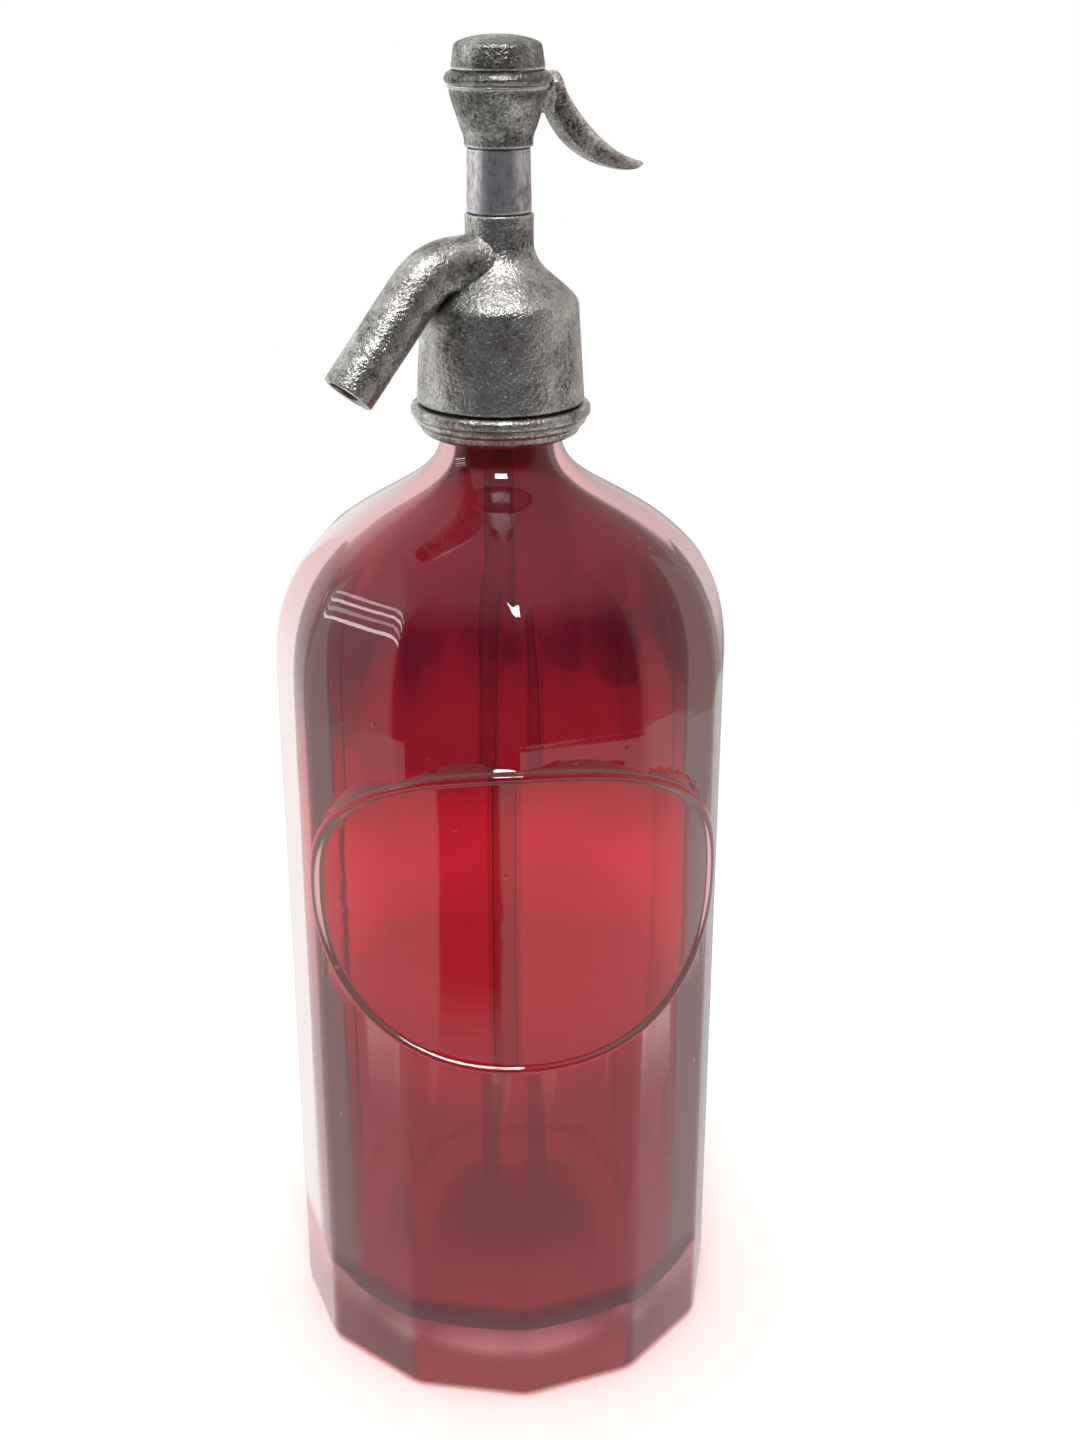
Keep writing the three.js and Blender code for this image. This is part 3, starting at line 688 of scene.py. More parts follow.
    def wall_colour(self, tree: Tree, height: Link, facing: Link) -> Link:
        """Builds the wall's tint: painted shade under the floor of the hollow with a darker painted line at its edge,
        a grey painted shade on the flats seen askew there, and a lighter foot on the near side.

        Args:
            tree: the material's nodes.
            height: the height in metres.
            facing: how far the wall turns from the eye.

        Returns:
            The colour.
        """
        below, line, foot, askew = (
            add_node(tree, "MapRange", {"Value": value, **between(span)}, **EASED) for value, span in (
                (height, self.floor_span), (height, self.line_start), (height, self.foot_span),
                (facing, self.askew_span),
            )
        )
        thick = add_node(tree, "MapRange", {"Value": height, **between(self.line_end)})
        near = self.near_side(tree)
        near_thick = add_node(tree, "Math", {0: thick, 1: near}, **TIMES)
        under_floor, near_foot, askew_shade = (
            add_node(tree, "Math", {0: share, 1: part}, **TIMES)
            for share, part in ((below, near_thick), (foot, near), (askew, near_thick))
        )
        # Painted shade under the floor, a darker painted line at its edge, and grey painted shade on askew flats.
        deep = add_node(tree, "Mix", {SHARE: line, UNDER: self.floor_shade, OVER: self.floor_shade_line}, **COLOURS)
        wall: Link | str = self.smoky
        for share, colour in ((under_floor, deep), (near_foot, self.foot_wall), (askew_shade, self.side_shade)):
            wall = add_node(tree, "Mix", {SHARE: share, UNDER: wall, OVER: colour}, **COLOURS)
        return wall

    def foot_colour(self, tree: Tree, spot: Link) -> Link:
        """Builds the tint of the scuffed underside, whose wear drifts in clouds."""
        clouds = add_node(tree, "TexNoise", {"Vector": spot, "Scale": per_metre(self.scuff), "Detail": 2.0})
        return add_node(tree, "Mix", {SHARE: clouds, UNDER: self.foot, OVER: self.foot_pale}, **COLOURS)

    def relief(self, tree: Tree, spot: Link, ripple: float) -> Link:
        """Builds the marks of pressing: slow waves, upright drawn lines and a few bubbles.

        Args:
            tree: the material's nodes.
            spot: the place in metres.
            ripple: the height of the waves, in metres.

        Returns:
            The normal.
        """
        waves = add_node(tree, "TexNoise", {
            "Vector": spot, "Scale": per_metre(self.wave), "Detail": 1.5, "Roughness": 0.45,
        })
        upright = add_node(tree, "Mapping", {"Vector": spot, "Scale": (0.07, 0.07, 1)})
        lines = add_node(tree, "TexNoise", {
            "Vector": upright, "Scale": per_metre(self.line), "Detail": 2.0, "Roughness": 0.5,
        })
        seeds = add_node(tree, "TexVoronoi", {"Vector": spot, "Scale": per_metre(self.bubble_spacing)}).outputs
        near = add_node(tree, "MapRange", {"Value": seeds["Distance"], **between(self.bubble_span)})
        chance = add_node(tree, "SeparateColor", {0: seeds["Color"]})
        rare = add_node(tree, "Math", {0: chance, 1: self.bare_share}, **PAST)
        bubbles = add_node(tree, "Math", {0: near, 1: rare}, **TIMES)
        normal: dict[str, Link] = {}
        for height, depth in ((waves, ripple), (lines, self.line_depth), (bubbles, self.bubble_depth)):
            normal["Normal"] = add_node(tree, "Bump", {
                "Height": height, "Strength": 1.0, "Distance": depth, **normal,
            })
        return normal["Normal"]

    def painted_edge_shade(self, tree: Tree, glass: Link) -> Link:
        """Paints a thin grey shade on the glass where the eye skims its outside.

        Args:
            tree: the material's nodes.
            glass: the shader without the outline.

        Returns:
            The shader with it.
        """
        facing = add_node(tree, "LayerWeight", {"Blend": 0.5}).outputs["Facing"]
        last = add_node(tree, "MapRange", {
            "Value": facing, **between(self.edge_shade_span), "To Max": self.edge_shade_share,
        }, **EASED)
        edge_shade = add_node(tree, "Math", {0: last, 1: self.near_side(tree)}, **TIMES)
        dark = add_node(tree, "BsdfTransparent", {"Color": self.outline})
        return add_node(tree, "MixShader", {0: edge_shade, 1: glass, 2: dark})

    def build(
        self, name: str, tint: Tint, glow: Tint, ripple: float, roughness: float = 0.0, lime: float = 0.0,
    ) -> Material:
        """Makes the glass of one face of the bottle.

        Args:
            name: the finish in plain words.
            tint: builds the colour.
            glow: builds the painted glow that ends the rays which the glass has mirrored inside itself.
            ripple: the height of the waves that pressing leaves, in metres.
            roughness: how dull the face is.
            lime: how much duller a film of lime makes it low down.

        Returns:
            The material.
        """
        material, tree, spot = new_material(name)
        dull: Link | float = roughness
        if lime:
            dull = add_node(tree, "MapRange", {
                "Value": add_node(tree, "SeparateXYZ", {0: spot}).outputs["Z"],
                **between(self.lime_span), "To Min": roughness, "To Max": roughness + lime,
            }, **EASED)
        glass: Link = add_node(tree, "BsdfPrincipled", {
            "Base Color": tint(tree, spot), "Roughness": dull, "IOR": self.ior, "Transmission Weight": 1.0,
            "Normal": self.relief(tree, spot, ripple),
        })
        # The polished outside gets a thin painted shade along its outline.
        if not roughness + lime:
            glass = self.painted_edge_shade(tree, glass)
        pale = add_node(tree, "BsdfTransparent", {"Color": self.lit_through})
        path = add_node(tree, "LightPath", {}).outputs
        unseen = add_node(tree, "Math", {0: path["Is Shadow Ray"], 1: path["Is Diffuse Ray"]}, **EITHER)
        mixed = add_node(tree, "MixShader", {0: unseen, 1: glass, 2: pale})
        # Rays that turn many times, or that are mirrored inside the glass after entering it, end in a painted glow.
        many, mirrored, entered = (
            add_node(tree, "Math", {0: path[f"{kind} Depth"], 1: least}, **PAST)
            for kind, least in (("Ray", self.turns), ("Glossy", self.mirrored_turns), ("Transmission", self.entries))
        )
        held = add_node(tree, "Math", {0: mirrored, 1: entered}, **TIMES)
        painted_glow_share = add_node(tree, "Math", {0: many, 1: held}, **EITHER)
        light = add_node(tree, "Emission", {"Color": glow(tree, spot)})
        ended = add_node(tree, "MixShader", {0: painted_glow_share, 1: mixed, 2: light})
        add_node(tree, "OutputMaterial", {"Surface": ended})
        return material

    def outer(self) -> Material:
        """The polished outside."""
        return self.build("pressed smoky glass", self.rim_colour, self.outer_painted_glow, self.outer_ripple)

    def inner(self) -> Material:
        """The stained inside, with its film of lime.

        Returns:
            The material.
        """
        return self.build(
            "ruby stained inner wall", self.stain_colour, self.inner_painted_glow, self.inner_ripple, lime=self.lime,
        )

    def underside(self) -> Material:
        """The foot and its push-up, scuffed dull by tables and trays.

        Returns:
            The material.
        """
        return self.build(
            "scuffed glass foot", self.foot_colour, self.outer_painted_glow, self.inner_ripple, self.foot_roughness,
        )


@dataclass(frozen=True)
class TubeGlass:
    """Drawn clear glass of the dip tube, with the green cast of soda lime."""

    colour: str = "#EAF0EC"
    ior: float = 1.1
    roughness: float = 0.02
    line: float = 2 * MM
    line_depth: float = 0.02 * MM

    def build(self) -> Material:
        """Makes the material.

        Returns:
            The material.
        """
        material, tree, spot = new_material("drawn tube glass")
        stretched = add_node(tree, "Mapping", {"Vector": spot, "Scale": (1, 1, 0.05)})
        lines = add_node(tree, "TexNoise", {"Vector": stretched, "Scale": per_metre(self.line), "Detail": 2.0})
        bump = add_node(tree, "Bump", {"Height": lines, "Strength": 0.4, "Distance": self.line_depth})
        glass = add_node(tree, "BsdfPrincipled", {
            "Base Color": self.colour, "Roughness": self.roughness, "IOR": self.ior, "Transmission Weight": 1.0,
            "Normal": bump,
        })
        add_node(tree, "OutputMaterial", {"Surface": glass})
        return material


@dataclass(frozen=True)
class AgedMetal:
    """A metal with tarnish in its hollows, bright worn edges and a grain from how it was made."""

    name: str
    dark: str
    middle: str
    light: str
    worn: str
    stain: str
    blotch: float
    grain: float
    grain_height: float
    roughness: Span
    stretch: Direction = (1, 1, 1)
    stain_share: float = 0.35
    # Factors for painted shade on faces that look down and painted light on faces that look up.
    underside: float = 1.0
    crown: float = 1.0
    tone_span: Span = (0.62, 1.08)
    stain_span: Span = (0.52, 0.72)
    hollow_reach: float = 2.5 * MM
    hollow_span: Span = (0.35, 0.85)
    hollow_tone: float = 0.4
    painted_light_and_shade_span: Span = (-0.35, 0.25)
    edge_round: float = 1.1 * MM
    edge_span: Span = (0.995, 0.93)
    wear_span: Span = (0.06, 0.34)

    def tarnished(self, tree: Tree, tone: Link, spot: Link, shape: Link) -> Link:
        """Builds the metal's colour before its edges are rubbed: mottled, stained in patches, dark in hollows, with
        painted shade on faces that look down and painted light on faces that look up where the underside and crown
        differ.

        Args:
            tree: the material's nodes.
            tone: how light the metal is.
            spot: the place in metres.
            shape: the normal.

        Returns:
            The colour.
        """
        patches = add_node(tree, "TexNoise", {
            "Vector": spot, "Scale": per_metre(self.blotch * 1.9), "Detail": 2.0, "W": 3.0,
        }, noise_dimensions="4D")
        mottled = add_node(tree, "ValToRGB", {"Fac": tone}, stops=((0, self.dark), (0.5, self.middle), (1, self.light)))
        stained = add_node(tree, "MapRange", {
            "Value": patches, **between(self.stain_span), "To Max": self.stain_share,
        })
        toned = add_node(tree, "Mix", {SHARE: stained, UNDER: mottled, OVER: self.stain}, **COLOURS)
        open_sky = add_node(tree, "AmbientOcclusion", {"Distance": self.hollow_reach}, samples=6).outputs["AO"]
        deep = add_node(tree, "MapRange", {
            "Value": open_sky, **between(self.hollow_span), "To Min": self.hollow_tone,
        })
        # Painted shade on faces that look down and painted light on faces that look up.
        if self.underside < self.crown:
            painted_light_and_shade = add_node(tree, "MapRange", {
                "Value": add_node(tree, "SeparateXYZ", {0: shape}).outputs["Z"],
                **between(self.painted_light_and_shade_span), "To Min": self.underside, "To Max": self.crown,
            })
            deep = add_node(tree, "Math", {0: deep, 1: painted_light_and_shade}, **TIMES)
        return add_node(tree, "Mix", {
            SHARE: 1.0, UNDER: toned, OVER: deep,
        }, blend_type="MULTIPLY", clamp_result=True, **COLOURS)

    def rubbed(self, tree: Tree, grains: Link, shape: Link) -> Link:
        """Finds the edges that hands have rubbed bright.

        Args:
            tree: the material's nodes.
            grains: the metal's grain.
            shape: the normal.

        Returns:
            The share that is rubbed.
        """
        rounder = add_node(tree, "Bevel", {"Radius": self.edge_round}, samples=8)
        along = add_node(tree, "VectorMath", {0: rounder, 1: shape}, operation="DOT_PRODUCT")
        edge = add_node(tree, "MapRange", {"Value": along, **between(self.edge_span)})
        grainy = add_node(tree, "Math", {0: edge, 1: grains}, **TIMES)
        return add_node(tree, "MapRange", {"Value": grainy, **between(self.wear_span)})

    def build(self) -> Material:
        """Makes the material.

        Returns:
            The material.
        """
        material, tree, spot = new_material(self.name)
        drawn = add_node(tree, "Mapping", {"Vector": spot, "Scale": self.stretch})
        blotches, grains = (
            add_node(tree, "TexNoise", {
                "Vector": drawn, "Scale": per_metre(size), "Detail": detail, "Roughness": roughness,
            }) for size, detail, roughness in ((self.blotch, 6.0, 0.62), (self.grain, 3.0, 0.6))
        )
        mixed_tone = add_node(tree, "Math", {0: grains, 1: 0.7, 2: blotches}, operation="MULTIPLY_ADD")
        tone = add_node(tree, "MapRange", {"Value": mixed_tone, **between(self.tone_span)})
        shape = add_node(tree, "NewGeometry", {}).outputs["Normal"]
        colour = add_node(tree, "Mix", {
            SHARE: self.rubbed(tree, grains, shape),
            UNDER: self.tarnished(tree, tone, spot, shape),
            OVER: self.worn,
        }, **COLOURS)
        dull, bright = self.roughness[1], self.roughness[0]
        gloss = add_node(tree, "MapRange", {"Value": tone, "To Min": dull, "To Max": bright})
        lumps = add_node(tree, "Bump", {"Height": blotches, "Strength": 1.0, "Distance": self.grain_height * 2.5})
        sand = add_node(tree, "Bump", {
            "Height": grains, "Strength": 1.0, "Distance": self.grain_height, "Normal": lumps,
        })
        metal = add_node(tree, "BsdfPrincipled", {
            "Base Color": colour, "Metallic": 1.0, "Roughness": gloss, "Normal": sand,
        })
        add_node(tree, "OutputMaterial", {"Surface": metal})
        return material


@dataclass(frozen=True)
class SoftStock:
    """Rubber or leather: a dull, slightly mottled stuff with a fine pore."""

    name: str
    dark: str
    light: str
    pore: float
    roughness: float
    pore_depth: float = 0.05 * MM

    def build(self) -> Material:
        """Makes the material.

        Returns:
            The material.
        """
        material, tree, spot = new_material(self.name)
        pores = add_node(tree, "TexNoise", {"Vector": spot, "Scale": per_metre(self.pore), "Detail": 4.0})
        mottled = add_node(tree, "ValToRGB", {"Fac": pores}, stops=((0, self.dark), (1, self.light)))
        bump = add_node(tree, "Bump", {"Height": pores, "Strength": 0.5, "Distance": self.pore_depth})
        stock = add_node(tree, "BsdfPrincipled", {
            "Base Color": mottled, "Roughness": self.roughness, "Normal": bump,
        })
        add_node(tree, "OutputMaterial", {"Surface": stock})
        return material


# Tin and lead cast in sand: mottled mid grey with a gritty skin, rubbed bright on its edges.
CAST_PEWTER = AgedMetal(
    "sand cast pewter", dark="#504E4B", middle="#B2B1AB", light="#E2E0DA", worn="#FAF8F2", stain="#93807C",
    blotch=7 * MM, grain=0.75 * MM, grain_height=0.26 * MM, roughness=(0.24, 0.42),
)
# A darker copy of the same metal, which paints shade on the housing and the cap; dark in its hollows, still bright on
# its edges.
SHADED_PEWTER = AgedMetal(
    "cast pewter with painted shade", dark="#3A3836", middle="#8A8984", light="#C6C4BE", worn="#F4F2EC", stain="#6E605E",
    blotch=7 * MM, grain=0.75 * MM, grain_height=0.26 * MM, roughness=(0.26, 0.44),
)
# The lever's metal: brown tarnish in patches, with painted light on its top and painted shade on its underside.
TOP_LIT_PEWTER = AgedMetal(
    "cast pewter with painted top light", dark="#5C5956", middle="#BEBCB6", light="#E8E6E0", worn="#FAF8F2", stain="#8C7472",
    blotch=6 * MM, grain=0.75 * MM, grain_height=0.2 * MM, roughness=(0.26, 0.44), stain_share=0.55,
    underside=0.45, crown=1.6,
)
# A drawn tube that tarnished dark, with faint lines along its length.
DARK_TUBE = AgedMetal(
    "tarnished drawn tube", dark="#605B61", middle="#C8C4C8", light="#F2EEF2", worn="#E8E4E4", stain="#A08A8C",
    blotch=7 * MM, grain=0.9 * MM, grain_height=0.05 * MM, roughness=(0.36, 0.5), stretch=(1, 1, 0.45),
)
# Brass turned on a lathe, dulled by water.
TURNED_BRASS = AgedMetal(
    "turned brass", dark="#7A6232", middle="#A98A4A", light="#C6A968", worn="#E0C88A", stain="#6E6A45",
    blotch=5 * MM, grain=0.5 * MM, grain_height=0.01 * MM, roughness=(0.25, 0.42), stretch=(1, 1, 3),
)
# Steel wire and pin stock, bright with a little rust.
DRAWN_STEEL = AgedMetal(
    "drawn steel", dark="#6C6E70", middle="#9A9DA0", light="#BFC2C4", worn="#DADCDD", stain="#7A5A44",
    blotch=4 * MM, grain=0.5 * MM, grain_height=0.01 * MM, roughness=(0.25, 0.4), stain_share=0.25,
)
BLACK_RUBBER = SoftStock("moulded black rubber", dark="#161616", light="#2C2B2A", pore=0.8 * MM, roughness=0.75)
GREASED_LEATHER = SoftStock("greased cup leather", dark="#4A3120", light="#7A5636", pore=0.6 * MM, roughness=0.6)


# The bottle


class Face(Enum):
    """The bottle's faces, by their place among its materials."""

    OUTER = 0
    INNER = 1
    UNDER = 2


@dataclass
class Bottle:
    """The glass bottle: twelve flats with arched tops, a raised oval pad and a thick foot."""

    radius: float = 52.7 * MM
    flats: int = 12
    body_height: float = 172 * MM
    shoulder_height: float = 38 * MM
    crown_shares: Corner = (0.58, 0.59, 0.205)
    hollow_crown_shares: Corner = (0.5, 0.59, 0.205)
    break_radius: float = 30.3 * MM
    neck_rise: float = 17 * MM
    sweep_shares: Corner = (0.39, 0.36, 0.53)
    neck_radius: float = 13.4 * MM
    neck_length: float = 9.5 * MM
    lip_radius: float = 15.6 * MM
    lip_height: float = 5.4 * MM
    wall: float = 5 * MM
    neck_wall: float = 3.2 * MM
    break_wall: float = 4 * MM
    break_drop: float = 3.75 * MM
    hollow_margin: float = 2.6 * MM
    skin: float = 3.5 * MM
    heel: float = 3 * MM
    base: float = 15 * MM
    floor_round: float = 7 * MM
    kick_radius: float = 26 * MM
    kick_height: float = 9 * MM
    kick_power: float = 2.8
    dome_radius: float = 28 * MM
    dome_height: float = 11 * MM
    dome_power: float = 1.3
    turn: float = math.radians(-117.4)
    corner_round: float = 8 * MM
    edge: float = 0.8 * MM
    arch_lead: float = 22 * MM
    arch_spring: float = 192 * MM
    arch_top: float = 206 * MM
    pad_half_turn: float = math.radians(61)
    pad_half_height: float = 37 * MM
    pad_height: float = 129.5 * MM
    pad_fullness: float = 2.4
    pad_proud: float = 0.5 * MM
    bead: float = 1.2 * MM
    columns_per_flat: int = 20
    corner_columns: tuple[float, ...] = (0.0, 0.02, 0.04, 0.06, 0.085)
    glass: RubyGlass = RubyGlass()

    def __post_init__(self) -> None:
        """Works out the levels that follow from the sizes."""
        self.flat_reach = self.radius * math.cos(math.pi / self.flats)
        self.shoulder_break = self.body_height + self.shoulder_height
        self.neck_foot = self.shoulder_break + self.neck_rise
        self.lip_foot = self.neck_foot + self.neck_length
        self.top = self.lip_foot + self.lip_height
        self.dome = crown(
            (self.radius, self.body_height), (self.break_radius, self.shoulder_break),
            self.shoulder_height, self.crown_shares, 240,
        )
        self.arch_foot = self.body_height - self.arch_lead
        self.arch_row = (self.arch_spring + self.arch_top) / 2
        self.arch_end = self.arch_top + 2 * MM

    def outside(self) -> list[Point]:
        """The outline of the outside, from the centre of the foot to the lip.

        Returns:
            Points of radius and height.
        """
        kick = [
            (self.kick_radius * t / 12, self.kick_height * (1 - (t / 12) ** self.kick_power))
            for t in range(12)
        ]
        heel_start = self.radius - self.heel
        foot = [
            (self.kick_radius + 0.6 * MM, 0), (self.kick_radius + 6 * MM, 0),
            (heel_start - 6 * MM, 0), (heel_start - 0.8 * MM, 0),
        ]
        heel = [
            (heel_start + self.heel * math.sin(a), self.heel * (1 - math.cos(a)))
            for a in (math.radians(90 * t / 8) for t in range(9))
        ]
        body = [(self.radius, self.heel + (self.arch_foot - self.heel) * t / 6) for t in range(1, 7)]
        low, high = self.arch_row - self.edge, self.arch_row + self.edge
        support = 1.6 * self.edge
        rows = [self.arch_foot + (low - support - self.arch_foot) * t / 26 for t in range(1, 27)]
        rows += [low, self.arch_row, high]
        rows += [high + support + (self.arch_end - high - support) * t / 6 for t in range(7)]
        shoulder = [point for point in self.dome[::4] if point[1] > self.arch_end + 0.3 * MM]
        to_neck = sweep(
            (self.break_radius, self.shoulder_break), (self.neck_radius, self.neck_foot),
            self.neck_rise, self.sweep_shares, 28,
        )
        lip = rounded([
            (self.neck_radius, self.neck_foot, 0),
            (self.neck_radius, self.lip_foot, 0.6 * MM),
            (self.lip_radius, self.lip_foot + 1.1 * MM, 1.2 * MM),
            (self.lip_radius, self.top, 1.6 * MM),
            (self.neck_radius - self.neck_wall, self.top, 0.8 * MM),
            (self.neck_radius - self.neck_wall, self.neck_foot, 0),
        ])
        return [
            *kick, *foot, *heel, *body, *[(self.radius, row) for row in rows], *shoulder, *to_neck[1:], *lip[1:],
        ]

    def inside(self) -> list[Point]:
        """The outline of the hollow, from the neck down to the centre of its floor.

        Returns:
            Points of radius and height.
        """
        radius = self.flat_reach - self.wall
        bore = self.neck_radius - self.neck_wall
        slope = (self.break_radius - self.break_wall, self.shoulder_break - self.break_drop)
        from_neck = sweep(slope, (bore, self.neck_foot), self.neck_rise, self.sweep_shares, 24)[::-1]
        dome = crown((radius, self.body_height), slope, self.shoulder_height, self.hollow_crown_shares, 40)[::-1]
        wall_foot = self.base + self.floor_round
        wall = [(radius, self.body_height + (wall_foot - self.body_height) * t / 10) for t in range(1, 11)]
        corner = [
            (radius - self.floor_round * (1 - math.cos(a)), self.base + self.floor_round * (1 - math.sin(a)))
            for a in (math.radians(90 * t / 12) for t in range(1, 13))
        ]
        floor = [
            (self.dome_radius * t / 20, self.base + self.dome_height * (1 - (t / 20) ** 2) ** self.dome_power)
            for t in range(20, -1, -1)
        ]
        return [*from_neck[1:], *dome[1:], *wall, *corner, *floor]

    def column(self, turn: float) -> tuple[float, float]:
        """Gathers the even columns of the spin towards the corners of the flats.

        Args:
            turn: an even column's angle from a corner.

        Returns:
            The new angle, and its part within the flat, measured from the flat's middle.
        """
        span = math.tau / self.flats
        index, share = divmod(turn % math.tau / span * self.columns_per_flat + TINY, self.columns_per_flat)
        step = round(share)
        near = self.corner_columns
        last = self.columns_per_flat
        if step < len(near):
            place = near[step]
        elif step > last - len(near):
            place = 1 - near[last - step]
        else:
            inner = (step - len(near) + 1) / (last - 2 * (len(near) - 1))
            place = near[-1] + (1 - 2 * near[-1]) * inner
        return (index + place) * span, (place - 0.5) * span

    def flat_radius(self, part: float) -> float:
        """The radius of the twelve-sided outline, its corners rounded, at an angle from a flat's middle.

        Args:
            part: the angle from the flat's middle.

        Returns:
            The radius.
        """
        half_span = math.pi / self.flats
        centre = (self.flat_reach - self.corner_round) / math.cos(half_span)
        if abs(part) <= math.atan2(centre * math.sin(half_span), self.flat_reach):
            return self.flat_reach / math.cos(part)
        to_corner = half_span - abs(part)
        return centre * math.cos(to_corner) + math.sqrt(self.corner_round ** 2 - (centre * math.sin(to_corner)) ** 2)

    def wall_radius(self, part: float, height: float) -> float:
        """The outside's radius: the flats bend in with the shoulder and narrow to an arch there.

        Args:
            part: the angle from a flat's middle.
            height: the height above the foot.

        Returns:
            The radius.
        """
        climb = max(0.0, min(1.0, (height - self.arch_spring) / (self.arch_top - self.arch_spring)))
        half_width = math.pi / self.flats * math.sqrt(1 - climb ** 2)
        dome = radius_at(self.dome, height)
        depth = math.cos(half_width) / math.cos(math.pi / self.flats)
        return min(dome, self.flat_radius(part) * dome / self.radius * depth)

    def arch(self, part: float) -> float:
        """The height at which a flat ends in the shoulder, at an angle from its middle."""
        share = min(1.0, abs(part) * self.flats / math.pi)
        return self.arch_spring + (self.arch_top - self.arch_spring) * math.sqrt(1 - share ** 2)

    def warp(self, height: float, arch: float) -> float:
        """Slides the rows near the shoulder so that one of them follows the arch.

        Args:
            height: a row's even height.
            arch: the arch's height at the point's angle.

        Returns:
            The new height.
        """
        low, high = self.arch_row - self.edge, self.arch_row + self.edge
        if height <= self.arch_foot or height >= self.arch_end:
            return height
        if height < low:
            stretch = (arch - self.edge - self.arch_foot) / (low - self.arch_foot)
            return self.arch_foot + (height - self.arch_foot) * stretch
        if height <= high:
            return height + arch - self.arch_row
        return self.arch_end - (self.arch_end - height) * (self.arch_end - arch - self.edge) / (self.arch_end - high)

    def cut_flats(self, piece: Piece) -> None:
        """Sets the spun wall back to the twelve flats, with a row of points along each arch.

        A planar cut would leave faces whose soft edges can't be shaded, so the points are set one by one.

        Args:
            piece: the spun bottle.
        """
        outer_limit = self.flat_reach - self.skin
        arches: dict[float, float] = {}
        for vertex in piece.data.vertices:
            radius = math.hypot(vertex.co.x, vertex.co.y)
            if radius < TINY:
                continue
            turn, part = self.column(math.atan2(vertex.co.y, vertex.co.x))
            height = vertex.co.z
            if radius > outer_limit and height < self.arch_end + TINY:
                part = round(part, 6)
                if part not in arches:
                    arches[part] = self.arch(part)
                new_height = self.warp(height, arches[part])
                wall = self.wall_radius(part, new_height)
                radius = wall - (self.radius - radius if height < self.heel else 0)
                height = new_height
            vertex.co = (radius * math.cos(turn), radius * math.sin(turn), height)

    def pad_edge(self, angle: float, inset: float) -> Point:
        """The oval's outline at an angle round it, set in by a distance, as width and height.

        Args:
            angle: the angle round the oval.
            inset: the distance inwards.

        Returns:
            The width from the middle of the oval and the height above the foot.
        """
        half_width = (self.radius + self.pad_proud) * math.sin(self.pad_half_turn)
        across, up = (
            (half - inset) * math.copysign(abs(value) ** (2 / self.pad_fullness), value)
            for half, value in ((half_width, math.cos(angle)), (self.pad_half_height, math.sin(angle)))
        )
        return across, self.pad_height + up

    def pad(self) -> Piece:
        """The raised oval with its bead, facing +X, as a closed skin that reaches into the wall.

        Returns:
            The piece.
        """
        face = [(share, 2.6 * self.bead, 0.0) for share in (0.0, 0.12, 0.25, 0.38, 0.5, 0.62, 0.74, 0.86, 0.95)]
        foot = [(1.0, 2.6 * self.bead, 0.0), (1.0, 2.2 * self.bead, 0.0), (1.0, 1.98 * self.bead, 0.04 * self.bead)]
        bead = [
            (1.0, self.bead * (1 - math.sin(a)), 1.5 * self.bead * (math.cos(a) - 0.5))
            for a in (math.radians(-54 + 12 * t) for t in range(13))
        ]
        skirt = [
            (1.0, out * self.bead, rise * self.bead)
            for out, rise in ((-0.3, -1.05), (-1.0, -1.6), (-2.0, -2.5), (-3.0, -3.6), (-2.6, -4.2))
        ]
        under = [(share, 0.0, -4.2 * self.bead) for share in (0.9, 0.7, 0.5, 0.3, 0.0)]
        rings = [*face, *foot, *bead, *skirt, *under]
        spans = len(rings) - 1
        piece = begin(
            "pad", bpy.ops.mesh.primitive_uv_sphere_add, segments=192, ring_count=spans, radius=1,
        )
        surface = self.radius + self.pad_proud
        for vertex in piece.data.vertices:
            share, inset, rise = rings[round(math.acos(max(-1, min(1, vertex.co.z))) / math.pi * spans)]
            across, height = self.pad_edge(math.atan2(vertex.co.y, vertex.co.x), inset)
            turn = math.asin(max(-1, min(1, across * share / surface)))
            height = self.pad_height + (height - self.pad_height) * share
            reach = surface + rise
            vertex.co = (reach * math.cos(turn), reach * math.sin(turn), height)
        face_outward(piece)
        return piece

    def face_of(self, polygon: bpy.types.MeshPolygon) -> Face:
        """Tells by a polygon's place, and on the neck's sweep by its normal, which face of the glass it is in.

        Args:
            polygon: a polygon of the spun bottle.

        Returns:
            The face.
        """
        spot = polygon.center
        radius = math.hypot(spot.x, spot.y)
        shell = self.flat_reach if spot.z < self.body_height else radius_at(self.dome, spot.z)
        if spot.z > self.neck_foot:
            shell = self.neck_radius
        hollow = spot.z > self.base - TINY and radius < shell - self.hollow_margin
        if self.shoulder_break < spot.z <= self.neck_foot:
            hollow = polygon.normal.dot(Vector((spot.x, spot.y, 0))) < 0
        kick = spot.z < self.base - TINY and radius < self.flat_reach - self.wall
        return Face.INNER if hollow else Face.UNDER if kick or spot.z < self.heel * 0.75 else Face.OUTER

    def build(self) -> None:
        """Models the bottle in one closed mesh and dresses both its walls."""
        piece = revolve("bottle_glass", [*self.outside(), *self.inside()], self.flats * self.columns_per_flat)
        self.cut_flats(piece)
        pad = self.pad()
        materials = [self.glass.outer(), self.glass.inner(), self.glass.underside()]
        for part in (piece, pad):
            for material in materials:
                part.data.materials.append(material)
        for polygon in piece.data.polygons:
            polygon.material_index = self.face_of(polygon).value
        combine(piece, pad, "UNION")
        piece.matrix_world = Matrix.Rotation(self.turn, 4, "Z")
        bake_place(piece)
        finish_piece(piece, materials, Slot.RUBY_GLASS, Body.ROOT, "bottle", crease=40)


